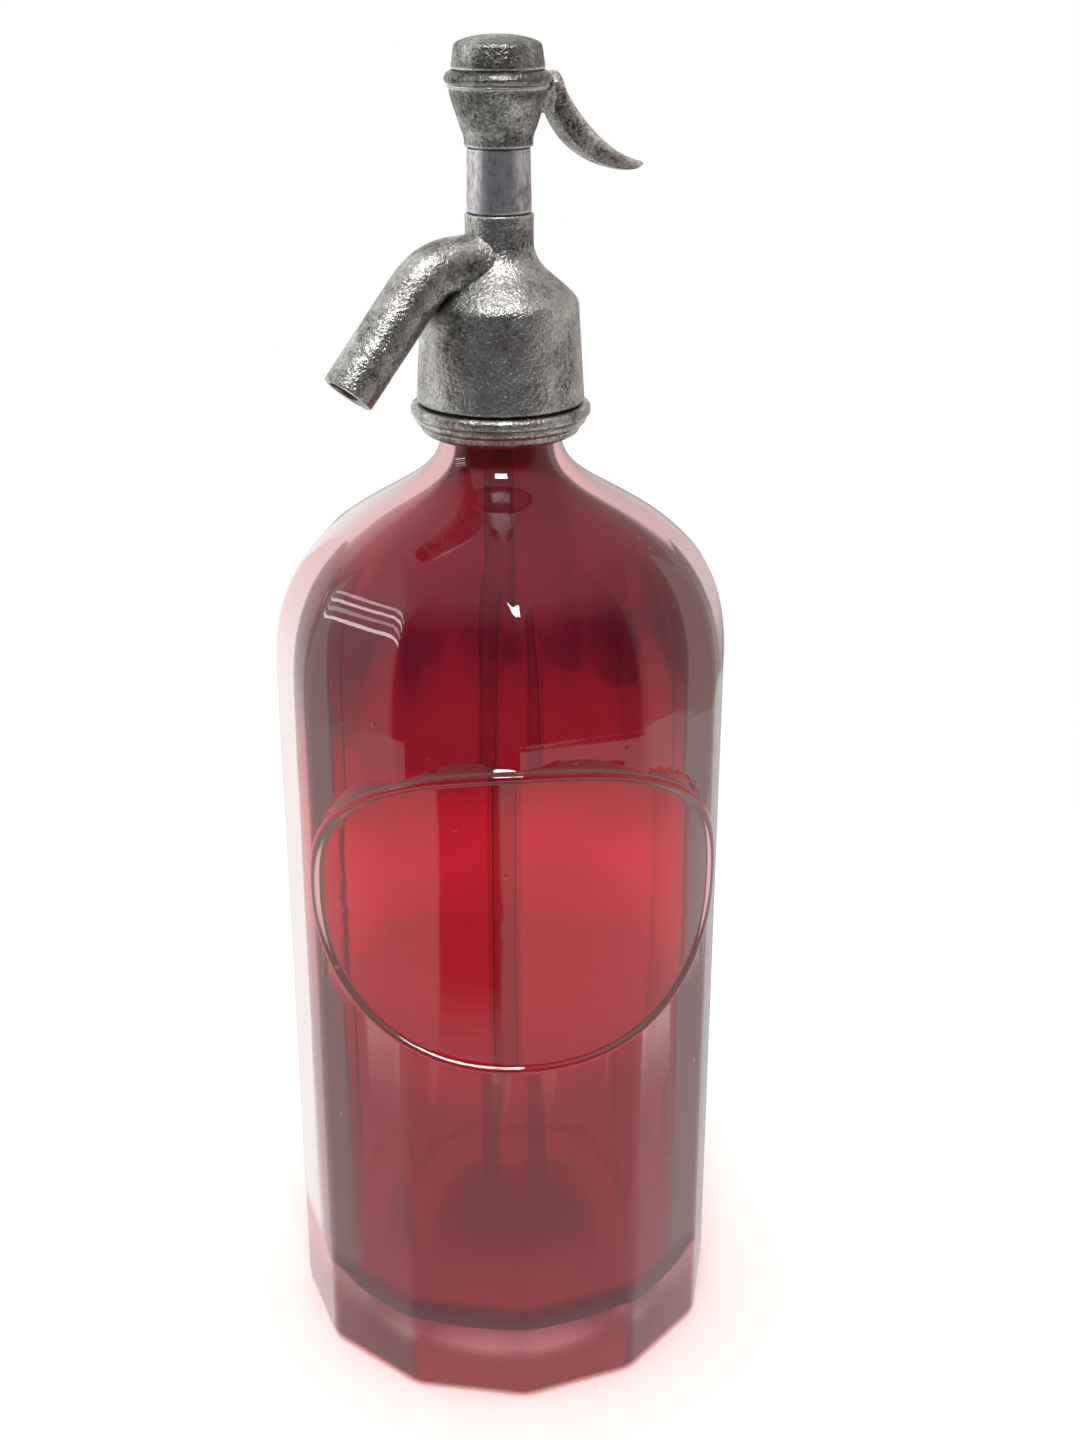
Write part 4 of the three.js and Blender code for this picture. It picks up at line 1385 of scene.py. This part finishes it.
@dataclass
class DipTube:
    """The glass tube from the head down to the floor of the bottle."""

    radius: float = 4 * MM
    wall: float = 1.4 * MM

    def build(self) -> None:
        """Models the tube with its fire-polished ends."""
        low, high = (corner.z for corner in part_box("dip_tube"))
        bore = self.radius - self.wall
        middle = (low + high) / 2
        outline = rounded([
            (bore, middle, 0), (bore, low, self.wall / 2), (self.radius, low, self.wall / 2),
            (self.radius, high, self.wall / 2), (bore, high, self.wall / 2), (bore, middle, 0),
        ])
        piece = revolve("tube_glass", outline, 64)
        finish_piece(piece, [TubeGlass().build()], Slot.TUBE_GLASS, Body.ROOT, "dip_tube")


# The head


@dataclass
class NeckRing:
    """The ring in two halves that grips the glass under its lip."""

    radius: float = 20 * MM
    skirt_radius: float = 15.6 * MM
    height: float = 4.4 * MM
    collar_height: float = 2.8 * MM
    bore: float = 13.7 * MM
    collar: float = 16.2 * MM
    split_turn: float = math.radians(-30)
    gap: float = 0.3 * MM

    def outline(self) -> list[Point]:
        """The ring's section: two soft beads with a groove between them, over a plain skirt.

        Returns:
            Points of radius and height.
        """
        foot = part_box("neck_ring_front")[0].z
        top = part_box("neck_ring_front")[1].z
        collar_foot = top - self.collar_height
        ledge = collar_foot - self.height
        return rounded([
            (self.bore, (foot + top) / 2, 0),
            (self.bore, foot, 0.3 * MM),
            (self.skirt_radius, foot, 0.4 * MM),
            (self.skirt_radius + 1.9 * MM, foot + 1.0 * MM, 0.5 * MM),
            (self.skirt_radius + 2.2 * MM, ledge - 0.3 * MM, 0.3 * MM),
            (self.radius - 1.2 * MM, ledge, 0.5 * MM),
            (self.radius - 0.8 * MM, ledge + 1.1 * MM, 0.5 * MM),
            (self.radius - 1.4 * MM, ledge + 1.5 * MM, 0.2 * MM),
            (self.radius - 0.1 * MM, ledge + 1.8 * MM, 0.7 * MM),
            (self.radius, collar_foot - 0.3 * MM, 1.1 * MM),
            (self.radius - 2.2 * MM, collar_foot, 0.6 * MM),
            (self.collar, collar_foot - 0.2 * MM, 0.2 * MM),
            (self.collar, top, 0.3 * MM),
            (self.bore, top, 0.3 * MM),
            (self.bore, (foot + top) / 2, 0),
        ])

    def build(self, name: str, node: str, side: int, metal: Material) -> None:
        """Models one half.

        Args:
            name: the piece's name.
            node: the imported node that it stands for.
            side: 1 for the half behind the split's plane, -1 for the one before it.
            metal: the cast finish.
        """
        piece = revolve(name, self.outline(), 192)
        normal = Vector((-math.sin(self.split_turn), math.cos(self.split_turn), 0)) * side
        with editing(piece):
            bpy.ops.mesh.bisect(
                plane_co=normal * self.gap / 2, plane_no=normal, clear_inner=True, use_fill=True,
            )
        finish_piece(piece, [metal], Slot.CAST_METAL, Body.ROOT, node)


@dataclass
class HeadBell:
    """The cast bell that screws down over the neck ring, with its neck for the barrel."""

    radius: float = 18.6 * MM
    wall: float = 2.1 * MM
    taper: float = 1.3 * MM
    side_height: float = 20.5 * MM
    shoulder_height: float = 14.1 * MM
    break_shares: Point = (0.61, 0.36)
    crown_shares: Corner = (0.14, 0.58, 0.135)
    sweep_shares: Corner = (0.5, 0.185, 0.32)
    neck_radius: float = 7.4 * MM
    spigot_bore: float = 6.2 * MM
    chamber: float = 5.3 * MM
    ceiling_height: float = 10.8 * MM

    def __post_init__(self) -> None:
        """Reads the bell's ends from the frame."""
        self.foot, self.top = (corner.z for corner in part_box("head_bell"))
        self.side_top = self.foot + self.side_height

    def shoulder(self) -> list[Point]:
        """The bell's crown and the sweep up to its neck.

        Returns:
            Points of radius and height.
        """
        side = self.radius - self.taper
        reach, rise = self.break_shares
        middle = (self.neck_radius + (side - self.neck_radius) * reach, self.side_top + self.shoulder_height * rise)
        neck = (self.neck_radius, self.side_top + self.shoulder_height)
        return [
            *crown((side, self.side_top), middle, self.shoulder_height, self.crown_shares, 14),
            *sweep(middle, neck, self.shoulder_height, self.sweep_shares, 18)[1:],
        ]

    def outside_radius(self, height: float) -> float:
        """The radius of the bell's outside at a height."""
        return radius_at([(self.radius, self.foot), *self.shoulder(), (self.neck_radius, self.top)], height)

    def build(self, metal: Material) -> None:
        """Models the bell with its bores.

        Args:
            metal: the cast finish.
        """
        bore = self.radius - self.wall
        ceiling = self.foot + self.ceiling_height
        side_rows = [(self.radius - self.taper * t / 6, self.foot + self.side_height * t / 6) for t in range(1, 6)]
        outline = [
            *rounded([
                (bore, self.foot + 2 * MM, 0),
                (bore, self.foot, 0.3 * MM),
                (self.radius, self.foot, 0.8 * MM),
                (*side_rows[0], 0),
            ]),
            *side_rows[1:],
            *self.shoulder(),
            *rounded([
                (self.neck_radius, self.top - 2.2 * MM, 0),
                (self.neck_radius + 0.1 * MM, self.top, 0.5 * MM),
                (self.spigot_bore, self.top, 0.2 * MM),
                (self.spigot_bore, self.top - 4.3 * MM, 0),
                (self.chamber, self.top - 4.3 * MM, 0),
                (self.chamber, ceiling, 0.3 * MM),
                (bore, ceiling, 0.8 * MM),
                (bore, self.foot + 2 * MM, 0),
            ]),
        ]
        piece = revolve("bell_casting", outline, 160)
        finish_piece(piece, [metal], Slot.CAST_METAL, Body.ROOT, "head_bell")


@dataclass
class Spout:
    """The bent spout, flared where it meets the bell, with its bore open at the mouth."""

    bell: HeadBell
    radius: float = 5.9 * MM
    bore: float = 4.3 * MM
    level: float = 264.0 * MM
    elbow: float = 17 * MM
    bend_radius: float = 13 * MM
    leg: float = 32.5 * MM
    drop: float = math.radians(49.5)
    flare: float = 0.5 * MM
    flare_length: float = 0.6 * MM
    start: float = 2.5 * MM
    bore_end: float = 9 * MM
    rim: float = 0.5 * MM

    def centre(self, along: float) -> tuple[Vector, Vector]:
        """A place on the centreline and the direction there, at a distance along it from the axis.

        Args:
            along: the distance along the centreline.

        Returns:
            The place and the direction.
        """
        tangent = self.bend_radius * math.tan(self.drop / 2)
        straight = self.elbow - tangent
        bend = self.bend_radius * self.drop
        if along <= straight:
            return Vector((-along, 0, self.level)), Vector((-1, 0, 0))
        angle = min(self.drop, (along - straight) / self.bend_radius)
        way = Vector((-math.cos(angle), 0, -math.sin(angle)))
        spot = Vector((
            -straight - self.bend_radius * math.sin(angle), 0,
            self.level - self.bend_radius * (1 - math.cos(angle)),
        ))
        return spot + way * max(0.0, along - straight - bend), way

    def length(self) -> float:
        """The centreline's length from the axis to the mouth."""
        tangent = self.bend_radius * math.tan(self.drop / 2)
        return self.elbow - tangent + self.bend_radius * self.drop + self.leg - tangent

    def build(self, metal: Material) -> None:
        """Models the spout as one loft: out along its skin, round the mouth and back down the bore.

        Args:
            metal: the cast finish.
        """
        end = self.length()
        rim = self.rim
        skin = [(self.start + (end - rim - self.start) * t / 90, self.radius) for t in range(91)]
        mouth = [
            (end - rim * (1 - math.sin(a)), self.radius - rim * (1 - math.cos(a)))
            for a in (math.radians(22.5 * t) for t in range(1, 5))
        ]
        lip = [(end, self.bore + 0.35 * MM), (end - 0.15 * MM, self.bore + 0.1 * MM), (end - rim, self.bore)]
        inner = [(end - (end - self.bore_end) * t / 24, self.bore) for t in range(1, 25)]
        stations = [*skin, *mouth, *lip, *inner]

        def place(number: int, turn: float) -> Vector:
            """Sets a point of a section, pushed out where it nears the bell.

            Args:
                number: the section's number.
                turn: the angle round it.

            Returns:
                The point.
            """
            along, radius = stations[number]
            spot, way = self.centre(along)
            side = Vector((0, 1, 0))
            up = way.cross(side)
            out = side * math.cos(turn) + up * math.sin(turn)
            point = spot + out * radius
            if number < len(skin):
                gap = max(0.0, math.hypot(point.x, point.y) - self.bell.outside_radius(point.z))
                point += out * self.flare * math.exp(-gap / self.flare_length)
            return point

        piece = loft("spout_tube", 64, len(stations) - 1, place)
        finish_piece(piece, [metal], Slot.CAST_METAL, Body.ROOT, "spout", crease=50)


@dataclass
class Barrel:
    """The dark tube between the bell and the lever housing."""

    foot_radius: float = 7 * MM
    top_radius: float = 6.75 * MM
    spigot_radius: float = 5.9 * MM
    bore: float = 4.9 * MM
    length: float = 13.1 * MM
    foot_spigot: float = 4 * MM

    def build(self, metal: Material) -> None:
        """Models the tube with its two spigots.

        Args:
            metal: the dark finish of the tube.
        """
        low, high = (corner.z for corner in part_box("barrel"))
        foot = low + self.foot_spigot
        top = foot + self.length
        middle = (low + high) / 2
        sides = [
            (self.foot_radius + (self.top_radius - self.foot_radius) * t / 8, foot + self.length * t / 8, 0)
            for t in range(1, 8)
        ]
        outline = rounded([
            (self.bore, middle, 0),
            (self.bore, low, 0.2 * MM),
            (self.spigot_radius, low, 0.2 * MM),
            (self.spigot_radius, foot, 0),
            (self.foot_radius, foot, 0.25 * MM),
            *sides,
            (self.top_radius, top, 0.25 * MM),
            (self.spigot_radius, top, 0),
            (self.spigot_radius, high, 0.2 * MM),
            (self.bore, high, 0.2 * MM),
            (self.bore, middle, 0),
        ])
        piece = revolve("barrel_tube", outline, 128)
        finish_piece(piece, [metal], Slot.BARREL_METAL, Body.ROOT, "barrel")


@dataclass
class LeverHousing:
    """The flared cup under the cap, slotted for the lever and bored for its pin."""

    radius: float = 11.3 * MM
    wall: float = 1.45 * MM
    thread_radius: float = 8.9 * MM
    bearing: float = 6.2 * MM
    bearing_depth: float = 2.8 * MM
    shelf: float = 5.2 * MM
    pin_reach: float = 7.5 * MM
    pin_share: float = 0.546
    pin_radius: float = 1.35 * MM
    slot_half_width: float = 3.7 * MM
    slot_start: float = 4.9 * MM
    slot_shares: Span = (0.257, 0.765)
    ledge_share: float = 0.81
    floor_share: float = 0.2

    def __post_init__(self) -> None:
        """Reads the housing's ends from the frame."""
        self.foot, self.top = (corner.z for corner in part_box("lever_housing"))
        self.height = self.top - self.foot
        self.pin_level = self.foot + self.height * self.pin_share

    def flare(self) -> list[Point]:
        """The outside of the cup from its foot bead to the groove under its rim, as radius and height.

        Returns:
            Points of radius and height.
        """
        shares = [
            (0.65, 0.1), (0.674, 0.17), (0.712, 0.235), (0.762, 0.35), (0.817, 0.47), (0.875, 0.6), (0.918, 0.72),
        ]
        return [(self.radius * out, self.foot + self.height * up) for out, up in through(shares, 5)]

    def corner(self, out: float, up: float, soft: float) -> Corner:
        """A corner of the outline from shares of the radius and the height, with its rounding."""
        return self.radius * out, self.foot + self.height * up, soft

    def outline(self) -> list[Point]:
        """The cup's section: up its flare, over the rim's two beads, down the hollow and round the foot.

        Returns:
            Points of radius and height.
        """
        flare = self.flare()
        thread = self.thread_radius / self.radius
        beads = [
            self.corner(out, up, soft * MM) for out, up, soft in (
                (0.925, 0.768, 0.1), (0.955, 0.782, 0.12), (0.955, 0.81, 0.15), (0.93, 0.82, 0.1),
                (0.985, 0.84, 0.3), (1.015, 0.895, 0.7), (0.978, 0.965, 0.5), (0.88, 1.005, 0.2),
                (thread, 1.0, 0.15), (thread, self.ledge_share, 0),
            )
        ]
        rim = rounded([
            (*flare[-1], 0), *beads, (flare[-1][0] - self.wall, self.foot + self.height * self.ledge_share, 0),
        ])
        floor = self.foot + self.height * self.floor_share
        hollow = [(radius - self.wall, height) for radius, height in reversed(flare) if height > floor]
        foot = rounded([
            (*hollow[-1], 0),
            (self.shelf, self.foot + self.bearing_depth, 0),
            (self.bearing, self.foot + self.bearing_depth, 0),
            (self.bearing, self.foot, 0.15 * MM),
            self.corner(0.648, 0.0, 0.3 * MM),
            (*flare[0], 0),
        ])
        return [*flare, *rim[1:], *hollow, *foot[1:]]

    def build(self, metal: Material) -> None:
        """Models the cup, then cuts its slot and its pin hole.

        Args:
            metal: the darker cast finish, which paints shade on the cup.
        """
        piece = revolve("housing_cup", self.outline(), 160)
        low_share, high_share = self.slot_shares
        opening = slab(
            "slot",
            Vector((self.slot_start, -self.slot_half_width, self.foot + self.height * low_share)),
            Vector((self.radius * 1.4, self.slot_half_width, self.foot + self.height * high_share)),
            0.8 * MM,
        )
        combine(piece, opening, "DIFFERENCE")
        hole = cross_bar("hole", self.pin_radius, self.radius, Vector((self.pin_reach, 0, self.pin_level)), 0.1 * MM)
        combine(piece, hole, "DIFFERENCE")
        finish_piece(piece, [metal], Slot.CAST_METAL, Body.ROOT, "lever_housing")


@dataclass
class Cap:
    """The cap that closes the housing over the spring, with a crisp shoulder and a low dome."""

    radius: float = 9.55 * MM
    spigot_radius: float = 8.6 * MM
    spigot_length: float = 2.6 * MM
    dome: float = 2.2 * MM
    bore: float = 6.6 * MM
    crown: float = 1.8 * MM

    def build(self, metal: Material) -> None:
        """Models the cap with its hollow for the spring.

        Args:
            metal: the darker cast finish, which paints shade on the cap.
        """
        low, high = (corner.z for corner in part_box("cap"))
        foot = low + self.spigot_length
        rim = high - self.dome
        dome = through([
            (self.radius * out, rim + self.dome * up)
            for out, up in ((0.93, 0.22), (0.85, 0.42), (0.66, 0.68), (0.36, 0.92), (0, 1))
        ], 5)
        outline = [
            *rounded([
                (0, high - self.crown, 0),
                (self.bore, high - self.crown, 0.6 * MM),
                (self.bore, low, 0),
                (self.spigot_radius, low, 0.2 * MM),
                (self.spigot_radius, foot, 0),
                (self.radius * 1.035, foot, 0.12 * MM),
                (self.radius * 1.03, foot + 0.9 * MM, 0.6 * MM),
                (self.radius * 0.968, rim, 0.3 * MM),
                (*dome[0], 0),
            ]),
            *dome[1:],
        ]
        piece = revolve("cap_casting", outline, 160)
        finish_piece(piece, [metal], Slot.CAST_METAL, Body.ROOT, "cap")


@dataclass
class Lever:
    """The thumb lever: a horn with a hollowed side, a neck through the slot, a hub and a fork."""

    housing: LeverHousing
    root: float = 11 * MM
    tip: float = 37.1 * MM
    fall: float = 21.3 * MM
    crest: float = 6.3 * MM
    half_width: float = 3.9 * MM
    hub_radius: float = 2.3 * MM
    fork_radius: float = 1.3 * MM
    fork_gap: float = 2.1 * MM
    gap_past: float = 4 * MM
    gap_end: float = 3.8 * MM
    gap_half_height: float = 3 * MM
    lift_arm: float = 9 * MM
    clearance: float = 0.3 * MM
    neck_height: float = 4.6 * MM
    neck_drop: float = 1.9 * MM
    neck_end: float = 12.2 * MM
    pin_hole: float = 1.35 * MM

    def edges(self) -> list[tuple[float, ...]]:
        """The lower edge, the upper edge and the width from root to tip, as shares.

        Returns:
            Rows of five shares: along and up for each edge, then the width.
        """
        lower = [
            (0, 0.724), (0.038, 0.631), (0.088, 0.519), (0.161, 0.393), (0.28, 0.252),
            (0.433, 0.136), (0.605, 0.05), (0.782, 0), (0.92, -0.004), (0.985, 0.018),
        ]
        upper = [
            (0.046, 0.991), (0.13, 1), (0.199, 0.832), (0.291, 0.673), (0.414, 0.509),
            (0.552, 0.355), (0.705, 0.22), (0.851, 0.131), (0.954, 0.09), (1, 0.072),
        ]
        width = [0.9, 1, 0.99, 0.95, 0.9, 0.83, 0.74, 0.65, 0.55, 0.4]
        return through([(*low, *high, wide) for low, high, wide in zip(lower, upper, width)], 6)

    def section(self) -> list[tuple[float, float]]:
        """Half of the horn's section from its lower rim to its crown, as shares of depth and half width.

        Returns:
            Pairs of shares.
        """
        return through([
            (0, 0), (0, 0.26), (0.02, 0.4), (0.055, 0.47), (0.085, 0.45), (0.105, 0.42), (0.14, 0.5), (0.2, 0.64),
            (0.29, 0.78), (0.39, 0.89), (0.5, 0.97), (0.58, 1), (0.68, 0.97), (0.78, 0.86), (0.87, 0.69),
            (0.94, 0.48), (0.985, 0.25), (1, 0.1), (1, 0),
        ], 3)

    def horn(self) -> Piece:
        """The part that the thumb presses.

        Returns:
            The piece.
        """
        lowest = self.housing.pin_level + self.crest - self.fall
        stations = self.edges()
        half = self.section()
        ring = [*[(up, -out) for up, out in half], *[(up, out) for up, out in reversed(half[1:-1])]]
        last = len(stations) - 1

        def place(number: int, turn: float) -> Vector:
            """Sets a point of a section between the horn's two edges.

            Args:
                number: the section's number.
                turn: the angle round it.

            Returns:
                The point.
            """
            up, out = ring[round(turn % math.tau / math.tau * len(ring)) % len(ring)]
            number = min(number, last)
            low_x, low_z, high_x, high_z, wide = stations[number]
            ease = 0.75 if number == last else 1.0
            along = low_x + (high_x - low_x) * up
            level = low_z + (high_z - low_z) * up
            return Vector((
                self.root + (self.tip - self.root) * along,
                self.half_width * wide * out * ease,
                lowest + self.fall * level,
            ))

        return loft("horn", len(ring), last, place)

    def build(self, metal: Material) -> None:
        """Joins the horn, neck, arm and hub, and cuts the fork and the pin hole.

        Args:
            metal: the lever's finish, with painted light on its top and painted shade underneath.
        """
        level = self.housing.pin_level
        pivot = self.housing.pin_reach
        half = self.housing.slot_half_width - self.clearance
        piece = self.horn()
        piece.name = "lever_casting"
        neck = slab(
            "neck",
            Vector((pivot, -half, level - self.neck_drop)),
            Vector((self.neck_end, half, level - self.neck_drop + self.neck_height)),
            0.4 * MM,
        )
        combine(piece, neck, "UNION")
        tip = pivot - self.lift_arm
        arm = slab(
            "arm",
            Vector((tip, -half, level - self.fork_radius)),
            Vector((pivot, half, level + self.fork_radius)),
            0.2 * MM,
        )
        combine(piece, arm, "UNION")
        combine(piece, cross_bar("hub", self.hub_radius, half, Vector((pivot, 0, level)), 0.25 * MM), "UNION")
        combine(piece, cross_bar("tip", self.fork_radius, half, Vector((tip, 0, level)), 0.15 * MM), "UNION")
        gap = slab(
            "gap",
            Vector((tip - self.gap_past, -self.fork_gap, level - self.gap_half_height)),
            Vector((self.gap_end, self.fork_gap, level + self.gap_half_height)),
            0.3 * MM,
        )
        combine(piece, gap, "DIFFERENCE")
        hole = cross_bar("hole", self.pin_hole, half * 2, Vector((pivot, 0, level)), 0.1 * MM)
        combine(piece, hole, "DIFFERENCE")
        finish_piece(piece, [metal], Slot.CAST_METAL, Body.LEVER, "lever", crease=42)

    def pin(self, steel: Material) -> None:
        """The pin that the lever turns on, with lightly peened ends.

        Args:
            steel: the pin's finish.
        """
        low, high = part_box("lever_pin")
        half = (high.y - low.y) / 2
        radius = (high.z - low.z) / 2
        place = Vector((self.housing.pin_reach, 0, self.housing.pin_level))
        piece = cross_bar("pivot_pin", radius, half, place, 0.35 * MM)
        finish_piece(piece, [steel], Slot.STEEL, Body.ROOT, "lever_pin")


@dataclass
class InnerWorks:
    """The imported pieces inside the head, which keep their shape and get their finishes."""

    def dress(self, materials: Mapping[Slot, Material]) -> None:
        """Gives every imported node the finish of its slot.

        Args:
            materials: a finish for each slot.
        """
        for row in frame["record"]["subparts"]:
            node = frame["nodes"][row["node"]]
            slot = Slot(row["material_slot"])
            for place in node.material_slots:
                place.material = materials[slot]


# The studio


@dataclass(frozen=True)
class SoftLamp:
    """A rectangular lamp."""

    name: str
    place: Corner
    aim: Corner
    width: float
    height: float
    power: float
    mirrored: bool = True

    def build(self) -> None:
        """Hangs the lamp and turns it to what it lights."""
        data = bpy.data.lights.new(self.name, "AREA")
        data.shape = "RECTANGLE"
        data.size, data.size_y = self.width, self.height
        data.energy = self.power
        lamp = bpy.data.objects.new(self.name, data)
        bpy.context.scene.collection.objects.link(lamp)
        lamp.location = self.place
        lamp.rotation_euler = (Vector(self.aim) - Vector(self.place)).to_track_quat("-Z", "Y").to_euler()
        lamp.visible_glossy = self.mirrored
        lamp.visible_transmission = False
        lamp.visible_camera = False


@dataclass
class Studio:
    """A white sheet under and behind the siphon, a dim room on the side of the camera, and the lamps."""

    camera_place: Direction = (-0.2219, -0.3524, 0.3277)
    camera_turn: Direction = (67.68, 0.0, -33.4)
    lens: float = 47.45
    nearest: float = 0.01
    floor_radius: float = 8.0
    floor_drop: float = 0.1 * MM
    paper: str = "#E6E0DE"
    dim: str = "#3C3A42"
    shaded: str = "#C4BCBA"
    overhead: str = "#C0BEBE"
    # A painted shadow on the sheet towards the camera, seen only in mirrored rays.
    shadow_band: str = "#3E343C"
    to_room: Direction = (-0.6, -0.8, 0.0)
    room_span: Span = (0.1, 0.6)
    to_window: Direction = (-0.835, 0.55, 0.0)
    window_span: Span = (-0.45, 0.2)
    to_ceiling: Direction = (0.0, 0.0, 1.0)
    overhead_span: Span = (0.55, 0.95)
    to_shadow_band: Direction = (-0.748, -0.664, 0.0)
    shadow_band_span: Span = (0.964, 0.974)
    shadow_band_start: Span = (0.19, 0.26)
    sheet_end: Span = (0.45, 0.47)
    sheet_fade: Span = (0.16, 0.42)
    slat_place: Direction = (-0.97, 0.4, 0.53)
    slat_step: float = 0.09
    slat_powers: tuple[float, ...] = (0.35, 0.12, 0.3, 0.18)

    def camera(self) -> None:
        """Sets the camera where the photograph was taken from."""
        data = bpy.data.cameras.new("camera")
        data.lens = self.lens
        data.clip_start = self.nearest
        camera = bpy.data.objects.new("camera", data)
        bpy.context.scene.collection.objects.link(camera)
        camera.location = self.camera_place
        camera.rotation_euler = [math.radians(angle) for angle in self.camera_turn]
        bpy.context.scene.camera = camera

    def mirrored_room(self, tree: Tree, way: Link) -> Link:
        """Builds the room as glass and metal mirror it: white by the window, shaded opposite, dim by the camera.

        Args:
            tree: the nodes of the floor or the world.
            way: the direction that a ray goes.

        Returns:
            The colour.
        """
        tone: Link | str = self.shaded
        for target, span, colour in (
            (self.to_window, self.window_span, WHITE),
            (self.to_room, self.room_span, self.dim),
            (self.to_ceiling, self.overhead_span, self.overhead),
        ):
            share = towards(tree, way, target, span)
            tone = add_node(tree, "Mix", {SHARE: share, UNDER: tone, OVER: colour}, **COLOURS)
        return tone

    def rays(self, tree: Tree) -> tuple[Link, ...]:
        """Returns the sockets that tell rays straight to the eye, rays through glass and mirrored rays."""
        path = add_node(tree, "LightPath", {}).outputs
        return tuple(path[f"Is {kind} Ray"] for kind in ("Camera", "Transmission", "Glossy"))

    def floor(self) -> None:
        """Lays the white sheet, whose far part stays white to the eye and is dim in mirrored rays by the room, and
        which shows a painted shadow band on the camera's side in mirrored rays.
        """
        ground = begin(
            "floor", bpy.ops.mesh.primitive_circle_add, vertices=96, radius=self.floor_radius, fill_type="NGON",
            location=(0, 0, -self.floor_drop),
        )
        bake_place(ground)
        material, tree, spot = new_material("matt white paper")
        away = add_node(tree, "VectorMath", {0: spot}, operation="LENGTH")
        far, beyond, standing = (
            add_node(tree, "MapRange", {"Value": away, **between(span)}, **EASED)
            for span in (self.sheet_fade, self.sheet_end, self.shadow_band_start)
        )
        eye, through_glass, mirrored = self.rays(tree)
        way = add_node(tree, "VectorMath", {0: spot}, operation="NORMALIZE")
        # The painted shadow band, on the camera's side and past a distance from the foot.
        in_shadow_band = add_node(tree, "Math", {
            0: standing, 1: towards(tree, way, self.to_shadow_band, self.shadow_band_span),
        }, **TIMES)
        near = add_node(tree, "Mix", {SHARE: in_shadow_band, UNDER: WHITE, OVER: self.shadow_band}, **COLOURS)
        room = self.mirrored_room(tree, way)
        tone = add_node(tree, "Mix", {SHARE: beyond, UNDER: near, OVER: room}, **COLOURS)
        seen = add_node(tree, "Mix", {SHARE: mirrored, UNDER: WHITE, OVER: tone}, **COLOURS)
        paint = add_node(tree, "BsdfDiffuse", {"Color": self.paper})
        glow = add_node(tree, "Emission", {"Color": seen, "Strength": 1.0})
        far_seen = add_node(tree, "Math", {0: far, 1: eye}, **TIMES)
        indirect = add_node(tree, "Math", {0: through_glass, 1: mirrored}, **EITHER)
        share = add_node(tree, "Math", {0: far_seen, 1: indirect}, **EITHER)
        both = add_node(tree, "MixShader", {0: share, 1: paint, 2: glow})
        add_node(tree, "OutputMaterial", {"Surface": both})
        ground.data.materials.append(material)

    def room(self) -> None:
        """Paints the room: white to the eye, dim in mirrored rays on the camera's side and overhead."""
        world = bpy.data.worlds.new("room")
        bpy.context.scene.world = world
        world.use_nodes = True
        tree = world.node_tree
        tree.nodes.clear()
        way = add_node(tree, "TexCoord", {}).outputs["Generated"]
        mirrored = self.rays(tree)[2]
        room = self.mirrored_room(tree, way)
        tone = add_node(tree, "Mix", {SHARE: mirrored, UNDER: WHITE, OVER: room}, **COLOURS)
        light = add_node(tree, "Background", {"Color": tone, "Strength": 1.0})
        add_node(tree, "OutputWorld", {"Surface": light})

    def lamps(self) -> list[SoftLamp]:
        """The small ceiling lamp, the slats of the window and the soft light from above that nothing mirrors.

        Returns:
            The lamps.
        """
        x, y, z = self.slat_place
        slats = [
            SoftLamp(f"window slat {slat}", (x, y, z + self.slat_step * slat), (0, 0, 0.2), 0.42, 0.03, power)
            for slat, power in enumerate(self.slat_powers)
        ]
        return [
            SoftLamp("ceiling lamp", (-0.33, -0.52, 1.22), (0, 0, 0.2), 0.3, 0.2, 7.5),
            *slats,
            SoftLamp("soft box", (0.0, 0.12, 1.4), (0, 0, 0.1), 0.9, 0.9, 7.0, mirrored=False),
        ]

    def build(self) -> None:
        """Sets up the whole studio."""
        bpy.context.scene.view_settings.view_transform = "Standard"
        self.camera()
        self.floor()
        self.room()
        for lamp in self.lamps():
            lamp.build()


def main() -> None:
    logging.basicConfig(level=logging.INFO, format="%(name)s: %(message)s")
    Studio().build()
    pewter = CAST_PEWTER.build()
    # A darker copy of the pewter, which paints shade on the housing and the cap.
    dull = SHADED_PEWTER.build()
    dark = DARK_TUBE.build()
    steel = DRAWN_STEEL.build()
    materials = {
        Slot.RUBY_GLASS: RubyGlass().inner(),
        Slot.TUBE_GLASS: TubeGlass().build(),
        Slot.CAST_METAL: pewter,
        Slot.BARREL_METAL: dark,
        Slot.BRASS: TURNED_BRASS.build(),
        Slot.STEEL: steel,
        Slot.RUBBER: BLACK_RUBBER.build(),
        Slot.LEATHER: GREASED_LEATHER.build(),
    }
    InnerWorks().dress(materials)
    Bottle().build()
    DipTube().build()
    ring = NeckRing()
    ring.build("ring_half_front", "neck_ring_front", -1, pewter)
    ring.build("ring_half_back", "neck_ring_back", 1, pewter)
    bell = HeadBell()
    bell.build(pewter)
    Spout(bell).build(pewter)
    Barrel().build(dark)
    housing = LeverHousing()
    housing.build(dull)
    Cap().build(dull)
    lever = Lever(housing)
    # The lever's pewter has painted light on its top and painted shade underneath.
    lever.build(TOP_LIT_PEWTER.build())
    lever.pin(steel)


if __name__ == "__main__":
    main()
